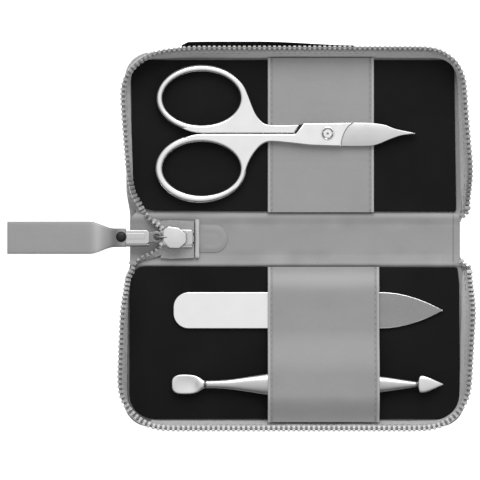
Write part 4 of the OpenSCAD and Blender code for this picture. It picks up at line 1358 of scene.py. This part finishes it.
def file_outline(inset, start):
    half = FILE_W / 2 - inset
    shoulder = FILE_L - FILE_POINT
    point = [(shoulder + FILE_POINT * t, half * (1 - t ** 1.85)) for t in (0, .12, .25, .38, .5, .6, .7, .8, .88, .94)]
    tip = [(FILE_L - 0.25 - 1.3 * inset, 0.28), (FILE_L - 0.05 - 1.3 * inset, 0.0), (FILE_L - 0.25 - 1.3 * inset, -0.28)]
    if start is None:
        r = half * 0.84
        back = arc(r, half - r, r, 90, 180, 13) + arc(r, r - half, r, 180, 270, 13)
    else:
        back = [(start, half), (start, -half)]
    point = [(x - (1.3 * inset if x > shoulder + 12 else 0), y) for x, y in point]
    line = [(x, -y) for x, y in point] + list(reversed(tip)) + [(x, y) for x, y in reversed(point)] + back
    return [(FILE_X + x, FILE_D + y) for x, y in line]


def nail_file():
    low = PANEL_TOP + 0.1
    blade_shape = on_half(slab([file_outline(0, None)], low, 1.0, 0.26, 3), -1)
    piece("file_blade", blade_shape, file_steel, "nail_file", ["nail_file"])
    plate = on_half(slab([file_outline(0.28, 52.0)], low + 0.88, 0.17, 0.06, 2), -1)
    piece("file_grit_face", plate, file_grit, "nail_file")


TOOL_X, SPOON_L, HANDLE_END, TOOL_Z = -41.7, 11.6, 41.2, 6.05


def swell(u):
    if u < 0.45:
        return 0.29 + 0.71 * ease(u / 0.45) ** 1.15
    return 0.21 + 0.79 * (1 - ((u - 0.45) / 0.55) ** 1.7)


def ovals(sections, count, top=None, flat=1.0):
    """Rings from place, half width and half height; top may lower the upper side into a hollow, and a
    flat below 1 makes both faces flatter."""
    rings = []
    for x, half, high in sections:
        ring = []
        for k in range(count):
            a = math.tau * k / count
            y, z = half * math.cos(a), high * math.copysign(abs(math.sin(a)) ** flat, math.sin(a))
            if top and z > 0:
                z -= top(x, y / max(half, 0.01)) * high
            ring.append((x, TOOL_D + y, TOOL_Z + z))
        rings.append(ring)
    return rings


def cuticle_tool():
    handle_x = TOOL_X + SPOON_L
    length = HANDLE_END - handle_x
    steps = 72
    sections = [(handle_x, 0.95, 0.95)]
    for i in range(steps + 1):
        u = i / steps
        k = swell(u)
        flat = max(0.5, min(1, 1.3 - 1.6 * k))
        sections.append((handle_x + 0.12 + (length - 0.24) * u, 4.8 * k, 4.5 * k * flat))
    sections.append((HANDLE_END, 0.6, 0.6))
    bm = on_half(sweep(ovals(sections, 32)), -1)
    piece("cuticle_tool_handle", bm, tool_steel, "cuticle_tool", ["tool_handle"], crease=50)

    def hollow(x, across):
        inside = rise(x, TOOL_X + 0.2, TOOL_X + 2.2) * (1 - rise(x, TOOL_X + 7.0, TOOL_X + 9.6))
        return inside * 1.0 * max(0.0, 1 - (across / 0.92) ** 2)
    half = 3.3
    spoon = [(TOOL_X, half * 0.34, 0.12), (TOOL_X + 0.14, half * 0.5, 0.26), (TOOL_X + 0.48, half * 0.68, 0.36),
             (TOOL_X + 1.05, half * 0.83, 0.44), (TOOL_X + 1.9, half * 0.94, 0.52), (TOOL_X + 3.1, half * 0.99, 0.6),
             (TOOL_X + 4.5, half, 0.66), (TOOL_X + 6.0, half * 0.99, 0.74), (TOOL_X + 7.4, half * 0.94, 0.84),
             (TOOL_X + 8.5, half * 0.85, 0.94), (TOOL_X + 9.4, half * 0.72, 1.02), (TOOL_X + 10.2, half * 0.57, 1.1),
             (TOOL_X + 10.8, 1.55, 1.12), (TOOL_X + 11.2, 1.4, 1.1), (TOOL_X + 11.55, 1.25, 1.05)]
    bm = on_half(sweep(ovals(spoon, 28, hollow)), -1)
    piece("cuticle_spoon", bm, tip_steel, "cuticle_tool", ["tool_spoon"], crease=50)
    end = HANDLE_END
    arrow = [(end + 0.05, 0.85, 0.85), (end + 0.7, 0.82, 0.82), (end + 0.9, 1.5, 0.86), (end + 1.02, 2.25, 0.92),
             (end + 1.3, 2.72, 0.95), (end + 1.8, 2.88, 0.95), (end + 2.5, 2.86, 0.92), (end + 3.4, 2.66, 0.88),
             (end + 4.5, 2.3, 0.82), (end + 5.6, 1.85, 0.74), (end + 6.8, 1.3, 0.62), (end + 7.9, 0.78, 0.48),
             (end + 8.8, 0.38, 0.3), (end + 9.2, 0.16, 0.14)]
    bm = on_half(sweep(ovals(arrow, 28, flat=0.4)), -1)
    piece("cuticle_arrow", bm, tip_steel, "cuticle_tool", ["tool_arrow"], crease=40)
    # Dark rings at the two necks, painted shade in the notches between the handle and the tips.
    rings = []
    for x, r in ((handle_x - 0.45, 1.3), (end + 0.5, 1.25)):
        rings.append(on_half(sweep(ovals([(x - 0.35, r * 0.9, r * 0.9), (x - 0.22, r, r), (x + 0.22, r, r),
                                          (x + 0.35, r * 0.9, r * 0.9)], 20)), -1))
    piece("cuticle_neck_rings", join(*rings), dark_steel, "cuticle_tool")


def carried_over():
    """Finishes for the solids that stay as they are."""
    for name, finish in (("lower_board", board), ("spine_board", board), ("upper_board", board),
                         ("bottom_stop", tooth_nickel)):
        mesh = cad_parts[name].data
        mesh.materials.clear()
        mesh.materials.append(finish)


for half in HALVES:
    outer_skin(half)
    lining_skin(half)
    black_panel(half)
    tape_wall(half)
    turned_edge(half)
    wall_stitches(half)
    tooth_row(half)
    left_crossing(half)
    right_crossing(half)
spine_ends()
far_shade_strip()
bands()
zip_start()
end_pieces()
slider()
crown()
pull()
rivet()
strap()
scissors()
nail_file()
cuticle_tool()
carried_over()


# Floor and light

def floor():
    """A plain white sheet that keeps the object's shadow."""
    finish = Finish("white floor", grey(0.86), 0.95, Specular_IOR_Level=0.0)
    paths = finish.tree.nodes.new("ShaderNodeLightPath")
    seen = Feed(finish, paths.outputs["Is Camera Ray"]) + Feed(finish, paths.outputs["Is Glossy Ray"])
    seen = seen + Feed(finish, paths.outputs["Is Transmission Ray"])
    glow = finish.node("ShaderNodeEmission", {}, {"Color": (1, 1, 1, 1), "Strength": seen * 0.85}, "Emission")
    both = finish.node("ShaderNodeAddShader", {}, {0: Feed(finish, finish.shader.outputs[0]), 1: glow})
    finish.tree.links.new(both.socket, finish.tree.nodes["Material Output"].inputs["Surface"])
    bm = bmesh.new()
    bmesh.ops.create_grid(bm, x_segments=1, y_segments=1, size=3)
    mesh = bpy.data.meshes.new("floor")
    bm.to_mesh(mesh)
    bm.free()
    mesh.materials.append(finish.material)
    sheet = bpy.data.objects.new("floor", mesh)
    sheet.location = (0, 0, -0.0001)
    bpy.context.scene.collection.objects.link(sheet)


def lamp(name, place, size, power):
    light = bpy.data.lights.new(name, "AREA")
    light.shape = "SQUARE"
    light.size = size
    light.energy = power
    made = bpy.data.objects.new(name, light)
    made.location = place
    made.rotation_euler = (Vector((0, 0, 0)) - Vector(place)).to_track_quat("-Z", "Y").to_euler()
    bpy.context.scene.collection.objects.link(made)


def lights():
    lamp("soft light", (0.05, 0.6, 0.6), 0.55, 3.9)
    world = bpy.data.worlds.new("studio")
    world.use_nodes = True
    tree = world.node_tree
    back = tree.nodes["Background"]
    paths = tree.nodes.new("ShaderNodeLightPath")
    place = tree.nodes.new("ShaderNodeTexCoord")
    axes = tree.nodes.new("ShaderNodeSeparateXYZ")
    tree.links.new(place.outputs["Generated"], axes.inputs[0])
    far = tree.nodes.new("ShaderNodeMath")
    far.operation = "MULTIPLY_ADD"
    far.inputs[1].default_value = 0.55
    tree.links.new(axes.outputs["Y"], far.inputs[0])
    tree.links.new(axes.outputs["Z"], far.inputs[2])
    ramp = tree.nodes.new("ShaderNodeValToRGB")
    for element, (spot, value) in zip(ramp.color_ramp.elements, ((0.1, 0.1), (0.95, 1.0))):
        element.position = spot
        element.color = (value, value, value, 1)
    tree.links.new(far.outputs[0], ramp.inputs["Fac"])
    shown = tree.nodes.new("ShaderNodeMix")
    shown.data_type = "RGBA"
    tree.links.new(paths.outputs["Is Glossy Ray"], shown.inputs[0])
    shown.inputs[6].default_value = (0.65, 0.65, 0.65, 1)
    tree.links.new(ramp.outputs["Color"], shown.inputs[7])
    plain = tree.nodes.new("ShaderNodeMix")
    plain.data_type = "RGBA"
    tree.links.new(paths.outputs["Is Camera Ray"], plain.inputs[0])
    tree.links.new(shown.outputs[2], plain.inputs[6])
    plain.inputs[7].default_value = (1, 1, 1, 1)
    tree.links.new(plain.outputs[2], back.inputs["Color"])
    bpy.context.scene.world = world
    bpy.context.scene.view_settings.view_transform = "Standard"


floor()
lights()

bpy.context.view_layer.update()
